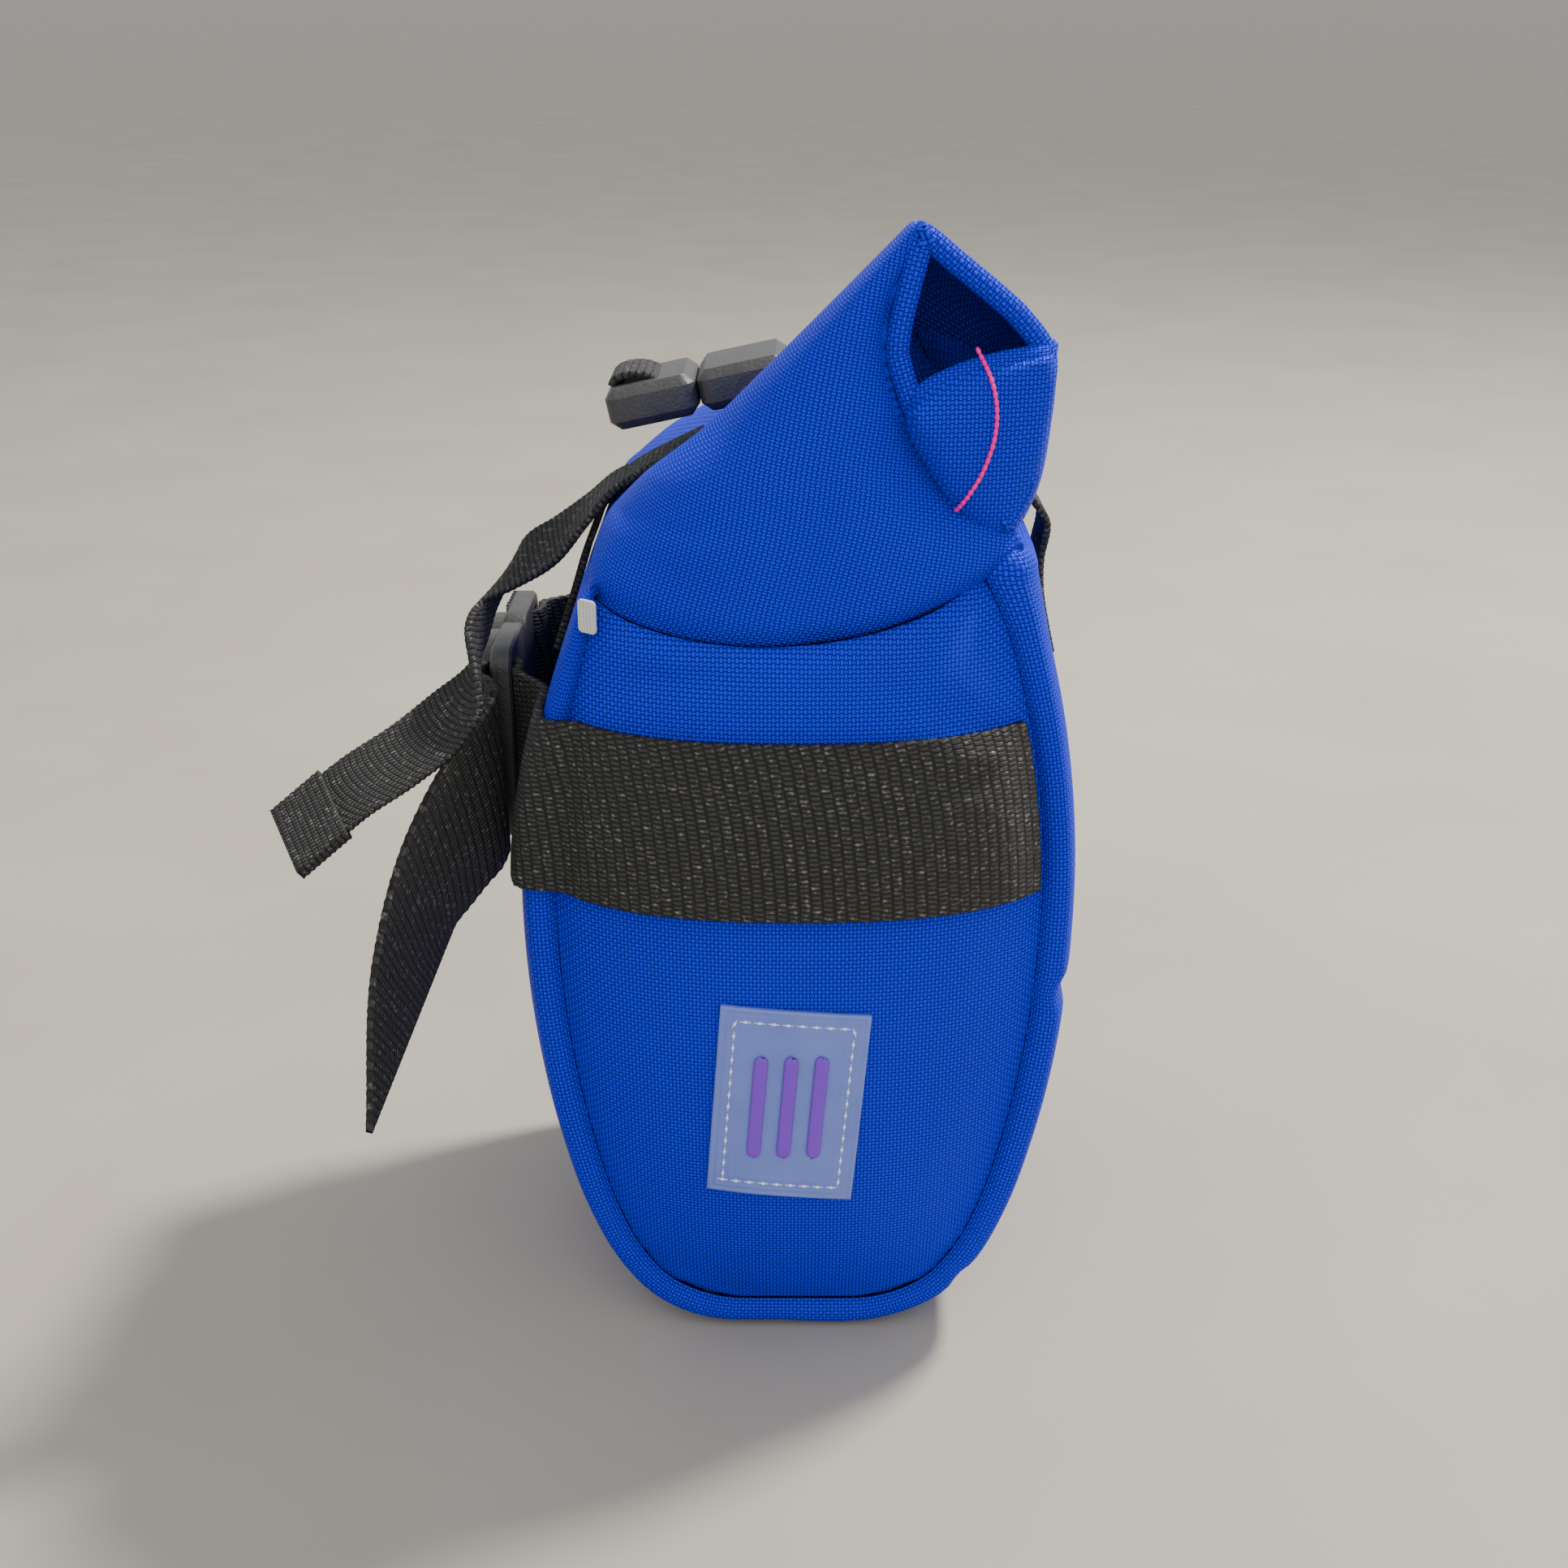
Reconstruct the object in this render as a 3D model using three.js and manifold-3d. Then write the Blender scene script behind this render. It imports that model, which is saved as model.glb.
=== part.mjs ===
// A roll-top bicycle saddle bag that stands on its rounded end. Millimetres, +Z up, +X to the right.
// Y runs from the front panel to the back one. The origin is the middle of the flat strip that it rests on.
import * as THREE from 'three';
import * as BufferGeometryUtils from 'three/addons/utils/BufferGeometryUtils.js';
import Module from 'manifold-3d';

const wasm = await Module();
wasm.setup();

// Body: the panels' seam outline and the gusset between them.
const seamHalfWidth = 52.5;
const bodyHeight = 182;
const seamLift = 8;
const bodyDepth = 96;
const cloth = 1.4;
const seamGap = 0.35;
const rimRoll = 2.2;
const gussetBulge = 9.5;
const panelBulge = 18;
const backBulge = 13;
const creaseSag = 9;
const rightEarRise = 7;
const creaseDrop = 5;
const crownPower = 2.6;
const crownEase = 0.8;
const waveHeight = 0.45;
const waveLength = 33;
const waveReach = 20;
const waveStart = 1.4;
const backWave = 0.6;

// Steps of the grids that the cloth is made from.
const collarRows = 11;
const rollRows = 10;
const sideWallRows = 3;
const turnSteps = 5;
const wideColumns = 4;
const panelRows = 16;
const panelRowPower = 1.15;
const sidePower = 1.35;
const panelColumns = 14;
const gussetSideSteps = 16;
const gussetBottomSteps = 6;
const gussetLineSteps = 4;
const patchRows = 6;
const patchColumns = 5;
const cornerSteps = 3;

// Collar: the triangular ends, the slope between them and the rolled mouth.
const peakX = 22.6;
const rollHeight = 75;
const rollWidth = 27.5;
const collarBulge = 12;
const collarDepthShare = 0.98;
const cornerPower = 6;
const footPower = 16;
const footEase = 3.5;
const baseEase = 2.5;
const flapInset = 2;
const pinchShare = 0.42;
const pinchPower = 4;
const sideWallTopRows = 6;
const sideWallBow = 1;
const flapCloth = 2.6;

// Webbing, buckles, patch and tab.
const wideWebbing = 38;
const wideThickness = 1.7;
const mountStrapZ = 134.5;
const strapGap = 0.6;
const skinShare = 0.4;
const narrowWebbing = 15;
const narrowThickness = 1.4;
const closureY = 0;
const mountBuckle = { length: 52, height: 46, thickness: 9, corner: 5, bevel: 1.2, edgeBevel: 0.6 };
const buckleY = 8;
const buckleGap = 0.4;
const barRadius = 3;
const barWidth = 4;
const slotWidth = 7;
const slotSpare = 1.5;
const plateOverlap = 2;
const plateInset = 3;
const barEase = 0.4;
const turnRun = 8;
const mitreLeast = 0.6;
const buckleLift = 4.9;
const buckleLowRows = 4;
const buckleHighRows = 8;
const collarStrapRows = 7;
const overStrapRows = 9;
const rollStrapRows = 6;
const creaseEase = 1;
const buckleSettle = 0.42;
const hem = { length: 13, thickness: 4, corner: 2, bevel: 0.8, spare: 1 };
const closureBuckle = { length: 40, width: 25, thickness: 9, corner: 3, bevel: 2 };
const wideTail = 90;
const closureTail = 66;
const patch = { width: 32, height: 48, thickness: 1, centreX: -2.5, centreZ: 70, turnDeg: 4.5 };
const bars = { count: 3, width: 3, height: 26, thickness: 0.5, pitch: 6.5 };
const tab = { width: 4.6, height: 7, thickness: 0.8, corner: 1, bevel: 0.2 };
const tabPlace = { belowTop: 6, across: 1.02, lift: 3.75, turnDeg: 36 };

// Half widths of the panels' seam: shares of seamHalfWidth at shares of topHeight above its lowest line.
const seamTable = [
  { height: 0.0, width: 0.34 },
  { height: 0.02, width: 0.5 },
  { height: 0.07, width: 0.66 },
  { height: 0.14, width: 0.77 },
  { height: 0.25, width: 0.87 },
  { height: 0.38, width: 0.945 },
  { height: 0.52, width: 0.985 },
  { height: 0.66, width: 0.985 },
  { height: 0.8, width: 0.925 },
  { height: 0.92, width: 0.83 },
  { height: 1.0, width: 0.77 },
];

// The front panel's dome: shares of panelBulge at shares of topHeight.
const domeTable = [
  { height: 0.0, bulge: 0.0 },
  { height: 0.04, bulge: 0.22 },
  { height: 0.1, bulge: 0.48 },
  { height: 0.2, bulge: 0.74 },
  { height: 0.4, bulge: 0.93 },
  { height: 0.62, bulge: 1.0 },
  { height: 0.8, bulge: 0.92 },
  { height: 0.93, bulge: 0.76 },
  { height: 1.0, bulge: 0.6 },
];

// Pull folds of the front panel, and the dent of the rim: places and sizes are shares of the named sizes.
const panelFolds = [
  { across: 0.72, height: 0.84, length: 0.3, width: 0.07, depth: 0.1, turnDeg: -24 },
  { across: 0.55, height: 0.79, length: 0.26, width: 0.05, depth: 0.06, turnDeg: -12 },
  { across: 0.86, height: 0.57, length: 0.2, width: 0.06, depth: 0.08, turnDeg: 62 },
  { across: -0.5, height: 0.9, length: 0.4, width: 0.06, depth: 0.07, turnDeg: 8 },
];
const rimFolds = [
  { across: 1.0, height: 0.47, length: 0.16, width: 0.05, depth: 0.09, turnDeg: 20 },
  { across: 0.66, height: 0.05, length: 0.08, width: 0.05, depth: 0.07, turnDeg: -40 },
];

// The gusset across its depth: how far it stands out, and its forward roll, at shares of half the depth.
const gussetTable = [
  { inward: 0.0, out: 0.06, forward: 0.0 },
  { inward: 0.0, out: 0.22, forward: 0.75 },
  { inward: 0.0, out: 0.46, forward: 1.0 },
  { inward: 0.0, out: 0.7, forward: 0.55 },
  { inward: 0.05, out: 0.86, forward: 0.0 },
  { inward: 0.16, out: 0.93, forward: 0.0 },
  { inward: 0.4, out: 0.98, forward: 0.0 },
  { inward: 0.72, out: 1.0, forward: 0.0 },
  { inward: 1.0, out: 1.0, forward: 0.0 },
];

// How much of the gusset's bulge is left at each share of topHeight: the closing strap draws the top in.
const squeezeTable = [
  { height: 0.0, left: 0.9, right: 0.9 },
  { height: 0.35, left: 1.0, right: 1.0 },
  { height: 0.7, left: 0.88, right: 0.92 },
  { height: 0.88, left: 0.62, right: 0.95 },
  { height: 1.0, left: 0.42, right: 1.0 },
];

// The roll's height at shares of the depth: the closing strap cinches its middle, and its far end is lower.
const cinchTable = [
  { depth: 0.0, share: 1.0 },
  { depth: 0.12, share: 0.97 },
  { depth: 0.25, share: 0.84 },
  { depth: 0.39, share: 0.6 },
  { depth: 0.5, share: 0.58 },
  { depth: 0.61, share: 0.59 },
  { depth: 0.8, share: 0.66 },
  { depth: 1.0, share: 0.7 },
];

// The collar's left outline and folded right edge: shares of seamHalfWidth, and of rollHeight upwards.
const collarTable = [
  { level: 0.0, left: -0.84, right: 0.77, rise: 0.0, rightRise: 0.0 },
  { level: 0.09, left: -0.83, right: 0.84, rise: 0.07, rightRise: 0.09 },
  { level: 0.16, left: -0.81, right: 0.74, rise: 0.12, rightRise: 0.18 },
  { level: 0.26, left: -0.76, right: 0.6, rise: 0.2, rightRise: 0.26 },
  { level: 0.4, left: -0.62, right: 0.48, rise: 0.32, rightRise: 0.35 },
  { level: 0.55, left: -0.38, right: 0.38, rise: 0.46, rightRise: 0.48 },
  { level: 0.7, left: -0.12, right: 0.31, rise: 0.64, rightRise: 0.62 },
  { level: 0.86, left: 0.17, right: 0.32, rise: 0.84, rightRise: 0.8 },
  { level: 1.0, left: 0.4, right: 0.46, rise: 1.0, rightRise: 0.98 },
];

// The roll's section at its open ends, clockwise from the peak, and in its middle, which the strap presses:
// shares of rollWidth and of rollHeight.
const rollTable = [
  { across: 0.0, up: 1.0, midAcross: 0.0, midUp: 1.0 },
  { across: 0.35, up: 0.91, midAcross: 0.35, midUp: 0.91 },
  { across: 0.75, up: 0.79, midAcross: 0.75, midUp: 0.79 },
  { across: 0.98, up: 0.68, midAcross: 0.98, midUp: 0.68 },
  { across: 0.96, up: 0.52, midAcross: 0.96, midUp: 0.52 },
  { across: 0.88, up: 0.31, midAcross: 0.88, midUp: 0.31 },
  { across: 0.68, up: 0.19, midAcross: 0.68, midUp: 0.19 },
  { across: 0.36, up: 0.25, midAcross: 0.62, midUp: 0.3 },
  { across: 0.02, up: 0.42, midAcross: 0.74, midUp: 0.5 },
  { across: -0.22, up: 0.66, midAcross: 0.55, midUp: 0.7 },
  { across: -0.14, up: 0.85, midAcross: 0.15, midUp: 0.84 },
];

// The folded layer in the roll's end: shares of rollWidth and of rollHeight.
const flapTable = [
  { across: -0.15, up: 0.52 },
  { across: 0.48, up: 0.63 },
  { across: 0.97, up: 0.67 },
  { across: 0.95, up: 0.52 },
  { across: 0.86, up: 0.32 },
  { across: 0.68, up: 0.2 },
  { across: 0.36, up: 0.26 },
  { across: 0.02, up: 0.43 },
];

// The wide tail's two edges after the bar: out, towards the front and down from the turn's end, as shares of
// wideTail.
const wideTailTable = [
  { topOut: 0.007, topForward: 0.076, topDrop: 0, lowOut: 0.007, lowForward: 0.076, lowDrop: 0 },
  { topOut: -0.029, topForward: 0.122, topDrop: 0.003, lowOut: -0.029, lowForward: 0.111, lowDrop: 0.003 },
  { topOut: -0.044, topForward: 0.172, topDrop: 0.017, lowOut: -0.05, lowForward: 0.142, lowDrop: 0.011 },
  { topOut: -0.022, topForward: 0.233, topDrop: 0.056, lowOut: -0.042, lowForward: 0.183, lowDrop: 0.039 },
  { topOut: 0.056, topForward: 0.333, topDrop: 0.144, lowOut: 0, lowForward: 0.222, lowDrop: 0.083 },
  { topOut: 0.15, topForward: 0.439, topDrop: 0.322, lowOut: 0.039, lowForward: 0.244, lowDrop: 0.128 },
  { topOut: 0.217, topForward: 0.522, topDrop: 0.567, lowOut: 0.072, lowForward: 0.253, lowDrop: 0.167 },
  { topOut: 0.256, topForward: 0.578, topDrop: 1, lowOut: 0.094, lowForward: 0.244, lowDrop: 0.211 },
];

// The other half's webbing is folded back on itself after its bar: shares of wideTail again.
const foldBackTable = [
  { topOut: 0, topForward: 0.067, topDrop: 0, lowOut: 0, lowForward: 0.067, lowDrop: 0 },
  { topOut: 0, topForward: 0.156, topDrop: 0, lowOut: 0, lowForward: 0.156, lowDrop: 0 },
];

// The narrow tail's middle from where it leaves the buckle, as shares of closureTail, and its width's way.
const closureTailTable = [
  { out: 0, forward: 0, drop: 0.006, leanX: 0, leanY: 1, leanZ: 0 },
  { out: 0.076, forward: 0.045, drop: 0.038, leanX: 0, leanY: 1, leanZ: 0.05 },
  { out: 0.167, forward: 0.091, drop: 0.121, leanX: 0, leanY: 0.95, leanZ: 0.2 },
  { out: 0.273, forward: 0.167, drop: 0.212, leanX: 0, leanY: 0.85, leanZ: 0.45 },
  { out: 0.379, forward: 0.242, drop: 0.265, leanX: 0.1, leanY: 0.85, leanZ: 0.5 },
  { out: 0.455, forward: 0.318, drop: 0.326, leanX: 0.35, leanY: 0.9, leanZ: 0.25 },
  { out: 0.5, forward: 0.394, drop: 0.409, leanX: 0.25, leanY: 1, leanZ: 0 },
  { out: 0.508, forward: 0.47, drop: 0.515, leanX: 0, leanY: 1, leanZ: 0 },
  { out: 0.515, forward: 0.545, drop: 0.606, leanX: -0.25, leanY: 0.85, leanZ: 0.3 },
  { out: 0.591, forward: 0.606, drop: 0.689, leanX: -0.4, leanY: 0.7, leanZ: 0.55 },
  { out: 0.712, forward: 0.682, drop: 0.773, leanX: -0.42, leanY: 0.7, leanZ: 0.58 },
  { out: 0.879, forward: 0.773, drop: 0.864, leanX: -0.42, leanY: 0.7, leanZ: 0.58 },
  { out: 1, forward: 0.833, drop: 0.955, leanX: -0.45, leanY: 0.68, leanZ: 0.58 },
];

// Where the wide webbing's route has a point: shares of the way across a panel, from the right to the left.
const strapShares = [0.96, 0.85, 0.7, 0.5, 0.3, 0.1, -0.1, -0.3, -0.5, -0.7, -0.85, -0.95];

const halfDepth = bodyDepth / 2;
const topHeight = bodyHeight - seamLift;

// A value read between the rows of a table, smoothly.
function tableValue(table, key, value, at) {
  const clamped = THREE.MathUtils.clamp(at, table[0][key], table[table.length - 1][key]);
  let row = 0;
  while (row < table.length - 2 && table[row + 1][key] < clamped) row += 1;
  const low = table[row];
  const high = table[row + 1];
  const before = table[Math.max(row - 1, 0)];
  const after = table[Math.min(row + 2, table.length - 1)];
  const span = high[key] - low[key];
  const t = (clamped - low[key]) / span;
  const slopeLow = (high[value] - before[value]) / (high[key] - before[key]) * span;
  const slopeHigh = (after[value] - low[value]) / (after[key] - low[key]) * span;
  const t2 = t * t;
  const t3 = t2 * t;
  return low[value] * (2 * t3 - 3 * t2 + 1) + slopeLow * (t3 - 2 * t2 + t)
    + high[value] * (3 * t2 - 2 * t3) + slopeHigh * (t3 - t2);
}

function shares(count) {
  return Array.from({ length: count + 1 }, (unused, i) => i / count);
}

// The mean direction that a grid's face points in at one of its points.
function gridNormal(grid, i, j, wrap) {
  const columns = grid[i].length;
  const up = grid[Math.min(i + 1, grid.length - 1)][j];
  const down = grid[Math.max(i - 1, 0)][j];
  const next = wrap ? (j + 1) % columns : Math.min(j + 1, columns - 1);
  const last = wrap ? (j + columns - 1) % columns : Math.max(j - 1, 0);
  const along = new THREE.Vector3().subVectors(up, down);
  const across = new THREE.Vector3().subVectors(grid[i][next], grid[i][last]);
  return across.cross(along).normalize();
}

// A closed sheet: the grid is its outer face, and the inner one lies a thickness behind it.
function sheetGeometry(grid, thickness, { wrap = false, floor = null, levelFoot = false } = {}) {
  const rows = grid.length;
  const columns = grid[0].length;
  const positions = [];
  const lowest = floor === null ? -Infinity : floor;
  const push = (point) => positions.push(point.x, point.y, Math.max(point.z, lowest));
  grid.forEach((line) => line.forEach(push));
  grid.forEach((line, i) => line.forEach((point, j) => {
    const normal = gridNormal(grid, i, j, wrap);
    if (levelFoot && i === 0) normal.setZ(0).normalize();
    const inner = point.clone().addScaledVector(normal, -thickness);
    if (floor !== null && point.z < floor + thickness) {
      inner.z = Math.max(inner.z, Math.max(point.z, floor) + thickness);
    }
    positions.push(inner.x, inner.y, inner.z);
  }));
  const index = [];
  const quad = (a, b, c, d) => index.push(a, b, c, a, c, d);
  const outer = (i, j) => i * columns + (j % columns);
  const inner = (i, j) => rows * columns + outer(i, j);
  const lastColumn = wrap ? columns : columns - 1;
  for (let i = 0; i < rows - 1; i += 1) {
    for (let j = 0; j < lastColumn; j += 1) {
      quad(outer(i, j), outer(i, j + 1), outer(i + 1, j + 1), outer(i + 1, j));
      quad(inner(i, j), inner(i + 1, j), inner(i + 1, j + 1), inner(i, j + 1));
    }
  }
  for (let j = 0; j < lastColumn; j += 1) {
    quad(outer(0, j), inner(0, j), inner(0, j + 1), outer(0, j + 1));
    quad(outer(rows - 1, j + 1), inner(rows - 1, j + 1), inner(rows - 1, j), outer(rows - 1, j));
  }
  if (!wrap) {
    const last = columns - 1;
    for (let i = 0; i < rows - 1; i += 1) {
      quad(outer(i + 1, 0), inner(i + 1, 0), inner(i, 0), outer(i, 0));
      quad(outer(i, last), inner(i, last), inner(i + 1, last), outer(i + 1, last));
    }
  }
  const geometry = new THREE.BufferGeometry();
  geometry.setAttribute('position', new THREE.Float32BufferAttribute(positions, 3));
  geometry.setIndex(index);
  return geometry;
}

function toSolid(geometry) {
  const bare = geometry.clone();
  bare.deleteAttribute('normal');
  bare.deleteAttribute('uv');
  const merged = BufferGeometryUtils.mergeVertices(bare, 1e-4);
  return new wasm.Manifold(new wasm.Mesh({
    numProp: 3,
    vertProperties: new Float32Array(merged.attributes.position.array),
    triVerts: new Uint32Array(merged.index.array),
  }));
}

function toGeometry(solid) {
  const mesh = solid.getMesh();
  const geometry = new THREE.BufferGeometry();
  geometry.setAttribute('position', new THREE.Float32BufferAttribute(mesh.vertProperties, 3));
  geometry.setIndex(Array.from(mesh.triVerts));
  return geometry;
}

const group = new THREE.Group();

function addPiece(name, geometry, { color, roughness, metalness = 0 }) {
  const mesh = new THREE.Mesh(geometry, new THREE.MeshStandardMaterial({ color, roughness, metalness }));
  mesh.name = name;
  group.add(mesh);
  return mesh;
}

const nylon = { color: 0x0c44d7, roughness: 0.6 };
const webbing = { color: 0x1e1b19, roughness: 0.8 };
const plastic = { color: 0x2f2f31, roughness: 0.45 };
const frosted = { color: 0x879bd2, roughness: 0.35 };
const purple = { color: 0x783cc8, roughness: 0.5 };
const offWhite = { color: 0xd8d6cc, roughness: 0.8 };

// How high the crease between a panel and the collar is, at a share of the way across: it sags in the middle.
function creaseZ(across) {
  return bodyHeight - creaseDrop + 0.5 * (1 + across) * rightEarRise - creaseSag * (1 - across * across);
}

function heightShare(z) {
  return (z - seamLift) / topHeight;
}

function seamHalf(z) {
  return seamHalfWidth * tableValue(seamTable, 'height', 'width', heightShare(z));
}

// How much a dome is left at a share of the way across.
function crown(across) {
  return (1 - Math.min(Math.abs(across), 1) ** crownPower) ** crownEase;
}

// The dents and pull folds of the cloth: each is a soft trough, turned in the plane of the panel.
function foldDepth(folds, x, z) {
  let depth = 0;
  folds.forEach((fold) => {
    const turn = THREE.MathUtils.degToRad(fold.turnDeg);
    const dx = x - fold.across * seamHalfWidth;
    const dz = z - seamLift - fold.height * topHeight;
    const along = dx * Math.cos(turn) + dz * Math.sin(turn);
    const over = dz * Math.cos(turn) - dx * Math.sin(turn);
    const reach = (along / (fold.length * seamHalfWidth)) ** 2 + (over / (fold.width * seamHalfWidth)) ** 2;
    depth += fold.depth * panelBulge * Math.exp(-reach);
  });
  return depth;
}

function panelY(across, z, bulge, folds) {
  const dome = bulge * tableValue(domeTable, 'height', 'bulge', heightShare(z)) * crown(across);
  return halfDepth + dome - foldDepth(folds, across * seamHalf(z), z) * crown(across);
}

// A panel as a grid from its lower edge up to the crease; the side is -1 at the front and 1 at the back.
function panelGrid(side, bulge, folds) {
  return shares(panelRows).map((row) => shares(panelColumns).map((column) => {
    const across = 2 * column - 1;
    const z = THREE.MathUtils.lerp(seamLift, creaseZ(across) - seamGap, row ** panelRowPower);
    const x = across * seamHalf(z);
    return new THREE.Vector3(x, side * panelY(across, z, bulge, folds), z);
  }));
}

function panelGeometry(side, bulge, folds) {
  const grid = panelGrid(side, bulge, folds);
  const ordered = side < 0 ? grid : grid.map((line) => line.slice().reverse());
  return sheetGeometry(ordered, cloth);
}

// The seam as a path from the left top, down and under, to the right top, with its outward directions.
function seamPath() {
  const sideHeights = shares(gussetSideSteps).map((share) => share ** sidePower);
  const point = (sign, share) => {
    const top = creaseZ(sign) - seamGap;
    const z = THREE.MathUtils.lerp(seamLift, top, share);
    return { x: sign * seamHalf(z), z };
  };
  const left = sideHeights.slice(1).reverse().map((share) => point(-1, share));
  const right = sideHeights.slice(1).map((share) => point(1, share));
  const half = seamHalf(seamLift);
  const bottom = shares(gussetBottomSteps).map((share) => ({
    x: THREE.MathUtils.lerp(-half, half, share),
    z: seamLift,
  }));
  const path = [...left, ...bottom, ...right];
  return path.map((here, i) => {
    const before = path[Math.max(i - 1, 0)];
    const after = path[Math.min(i + 1, path.length - 1)];
    const length = Math.hypot(after.x - before.x, after.z - before.z);
    const end = i === 0 || i === path.length - 1;
    if (end) return { ...here, outX: Math.sign(here.x), outZ: 0 };
    return { ...here, outX: (after.z - before.z) / length, outZ: -(after.x - before.x) / length };
  });
}

function gussetStandOut(x, z) {
  return gussetBulge * tableValue(squeezeTable, 'height', x < 0 ? 'left' : 'right', heightShare(z));
}

// The rim's slight waves along the lower edge, and the dent in its right side.
function rimWave(x, z) {
  const low = Math.max(0, 1 - z / waveReach);
  const dent = foldDepth(rimFolds, x, z);
  return low * waveHeight * Math.sin(2 * Math.PI * x / waveLength) - dent;
}

function gussetGrid() {
  const front = gussetTable.map((row) => ({ ...row, side: -1 }));
  const back = gussetTable.slice(0, -1).reverse().map((row) => ({ ...row, side: 1 }));
  return seamPath().map((at) => [...front, ...back].map((row) => {
    const wave = rimWave(at.x, at.z) * Math.min(1, row.out * waveStart) * (row.side < 0 ? 1 : backWave);
    const out = gussetStandOut(at.x, at.z) * row.out + wave;
    const depth = halfDepth * (1 - row.inward) + rimRoll * row.forward;
    return new THREE.Vector3(at.x + at.outX * out, row.side * depth, at.z + at.outZ * out);
  }));
}

function gussetGeometry() {
  return sheetGeometry(gussetGrid(), cloth, { floor: 0 });
}

addPiece('front_panel', panelGeometry(-1, panelBulge, panelFolds), nylon);
addPiece('back_panel', panelGeometry(1, backBulge, []), nylon);
addPiece('gusset', gussetGeometry(), nylon);

const collarBase = bodyHeight - creaseDrop + 0.5 * cloth;

// The closing strap presses the collar and the roll down: every height above the base follows the cinch.
function cinched(y, z) {
  const foot = creaseZ(1) + cloth;
  if (z <= foot) return z;
  return foot + (z - foot) * tableValue(cinchTable, 'depth', 'share', (y + halfDepth) / bodyDepth);
}

function collarRow(level) {
  const read = (value) => tableValue(collarTable, 'level', value, level);
  return {
    left: seamHalfWidth * read('left'),
    right: seamHalfWidth * read('right'),
    rise: rollHeight * read('rise'),
    rightRise: rollHeight * read('rightRise'),
  };
}

// The collar's wall in plan: a rounded half loop from the back's right end, round the left, to the front's.
function loopShares(level) {
  const power = THREE.MathUtils.lerp(footPower, cornerPower, Math.min(1, level * footEase));
  const flat = [0, 0.05, 0.14, 0.25, 0.38, 0.51, 0.64, 0.76, 0.87, 0.95];
  const side = [0.75, 0.42, 0.18, 0, -0.18, -0.42, -0.75];
  const corner = (value) => (1 - Math.abs(value) ** power) ** (1 / power);
  const back = flat.map((u) => ({ u, v: corner(u) }));
  const left = side.map((v) => ({ u: corner(v), v }));
  const front = flat.slice().reverse().map((u) => ({ u, v: -corner(u) }));
  return [...back, ...left, ...front];
}

function collarPoint(level, { u, v }) {
  const row = collarRow(level);
  const x = row.right - (row.right - row.left) * u;
  const bulge = collarBulge * (v < 0 ? 1 : backBulge / panelBulge);
  const fade = Math.cos(0.5 * Math.PI * level) * crown(2 * u - 1) * v * v;
  const y = v * halfDepth * collarDepthShare + Math.sign(v) * bulge * fade;
  const crease = creaseZ(THREE.MathUtils.clamp(x / seamHalf(bodyHeight), -1, 1)) + 0.5 * seamGap;
  const base = THREE.MathUtils.lerp(crease, collarBase, Math.min(1, level * baseEase));
  return new THREE.Vector3(x, y, base + THREE.MathUtils.lerp(row.rightRise, row.rise, u));
}

function collarSheet() {
  const grid = shares(collarRows).map((level) => loopShares(level).map((at) => collarPoint(level, at)));
  return toSolid(sheetGeometry(grid, cloth, { levelFoot: true }));
}

// The roll's section where it is pinched by a share: 0 at its ends and near 1 under the closing strap.
function rollSection(pinch = 0) {
  return rollTable.map((row) => ({
    x: peakX + THREE.MathUtils.lerp(row.across, row.midAcross, pinch) * rollWidth,
    z: collarBase + THREE.MathUtils.lerp(row.up, row.midUp, pinch) * rollHeight,
  }));
}

function rollSheet() {
  const reach = halfDepth * collarDepthShare;
  const grid = shares(rollRows).map((share) => {
    const pinch = Math.exp(-(((2 * share - 1) / pinchShare) ** pinchPower));
    const y = THREE.MathUtils.lerp(-reach, reach, share);
    return rollSection(pinch).map((at) => new THREE.Vector3(at.x, y, at.z));
  });
  return toSolid(sheetGeometry(grid, cloth, { wrap: true }));
}

// How far the gusset's outer face stands out at one place of its depth.
function rimOut(y) {
  const skin = gussetTable.filter((row) => row.forward < 1 && row.out > 0.5);
  return tableValue(skin, 'inward', 'out', 1 - Math.abs(y) / halfDepth);
}

// The wall on the roll's side, from the mouth of the body up into the roll.
function rollSideWall() {
  const reach = halfDepth * collarDepthShare;
  const start = creaseZ(1) + 0.5 * seamGap;
  const end = rollSection()[sideWallTopRows];
  const grid = shares(sideWallRows).map((level) => shares(rollRows).map((share) => {
    const y = THREE.MathUtils.lerp(-reach, reach, share);
    const foot = seamHalf(bodyHeight) + gussetStandOut(1, bodyHeight) * rimOut(y);
    const bow = sideWallBow * Math.sin(Math.PI * level);
    return new THREE.Vector3(
      THREE.MathUtils.lerp(foot, end.x, level) + bow,
      y,
      THREE.MathUtils.lerp(start, end.z + cloth, level),
    );
  }));
  return toSolid(sheetGeometry(grid, cloth, { levelFoot: true }));
}

// The folded layer that closes the lower half of the roll's end.
function rollFlap(side) {
  const shape = new THREE.Shape(flapTable.map((row) => new THREE.Vector2(
    peakX + row.across * rollWidth,
    collarBase + row.up * rollHeight,
  )));
  const geometry = new THREE.ExtrudeGeometry(shape, { depth: flapCloth, bevelEnabled: false });
  geometry.rotateX(Math.PI / 2);
  const reach = halfDepth * collarDepthShare - flapInset;
  geometry.translate(0, side < 0 ? flapCloth - reach : reach, 0);
  return toSolid(geometry);
}

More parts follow.
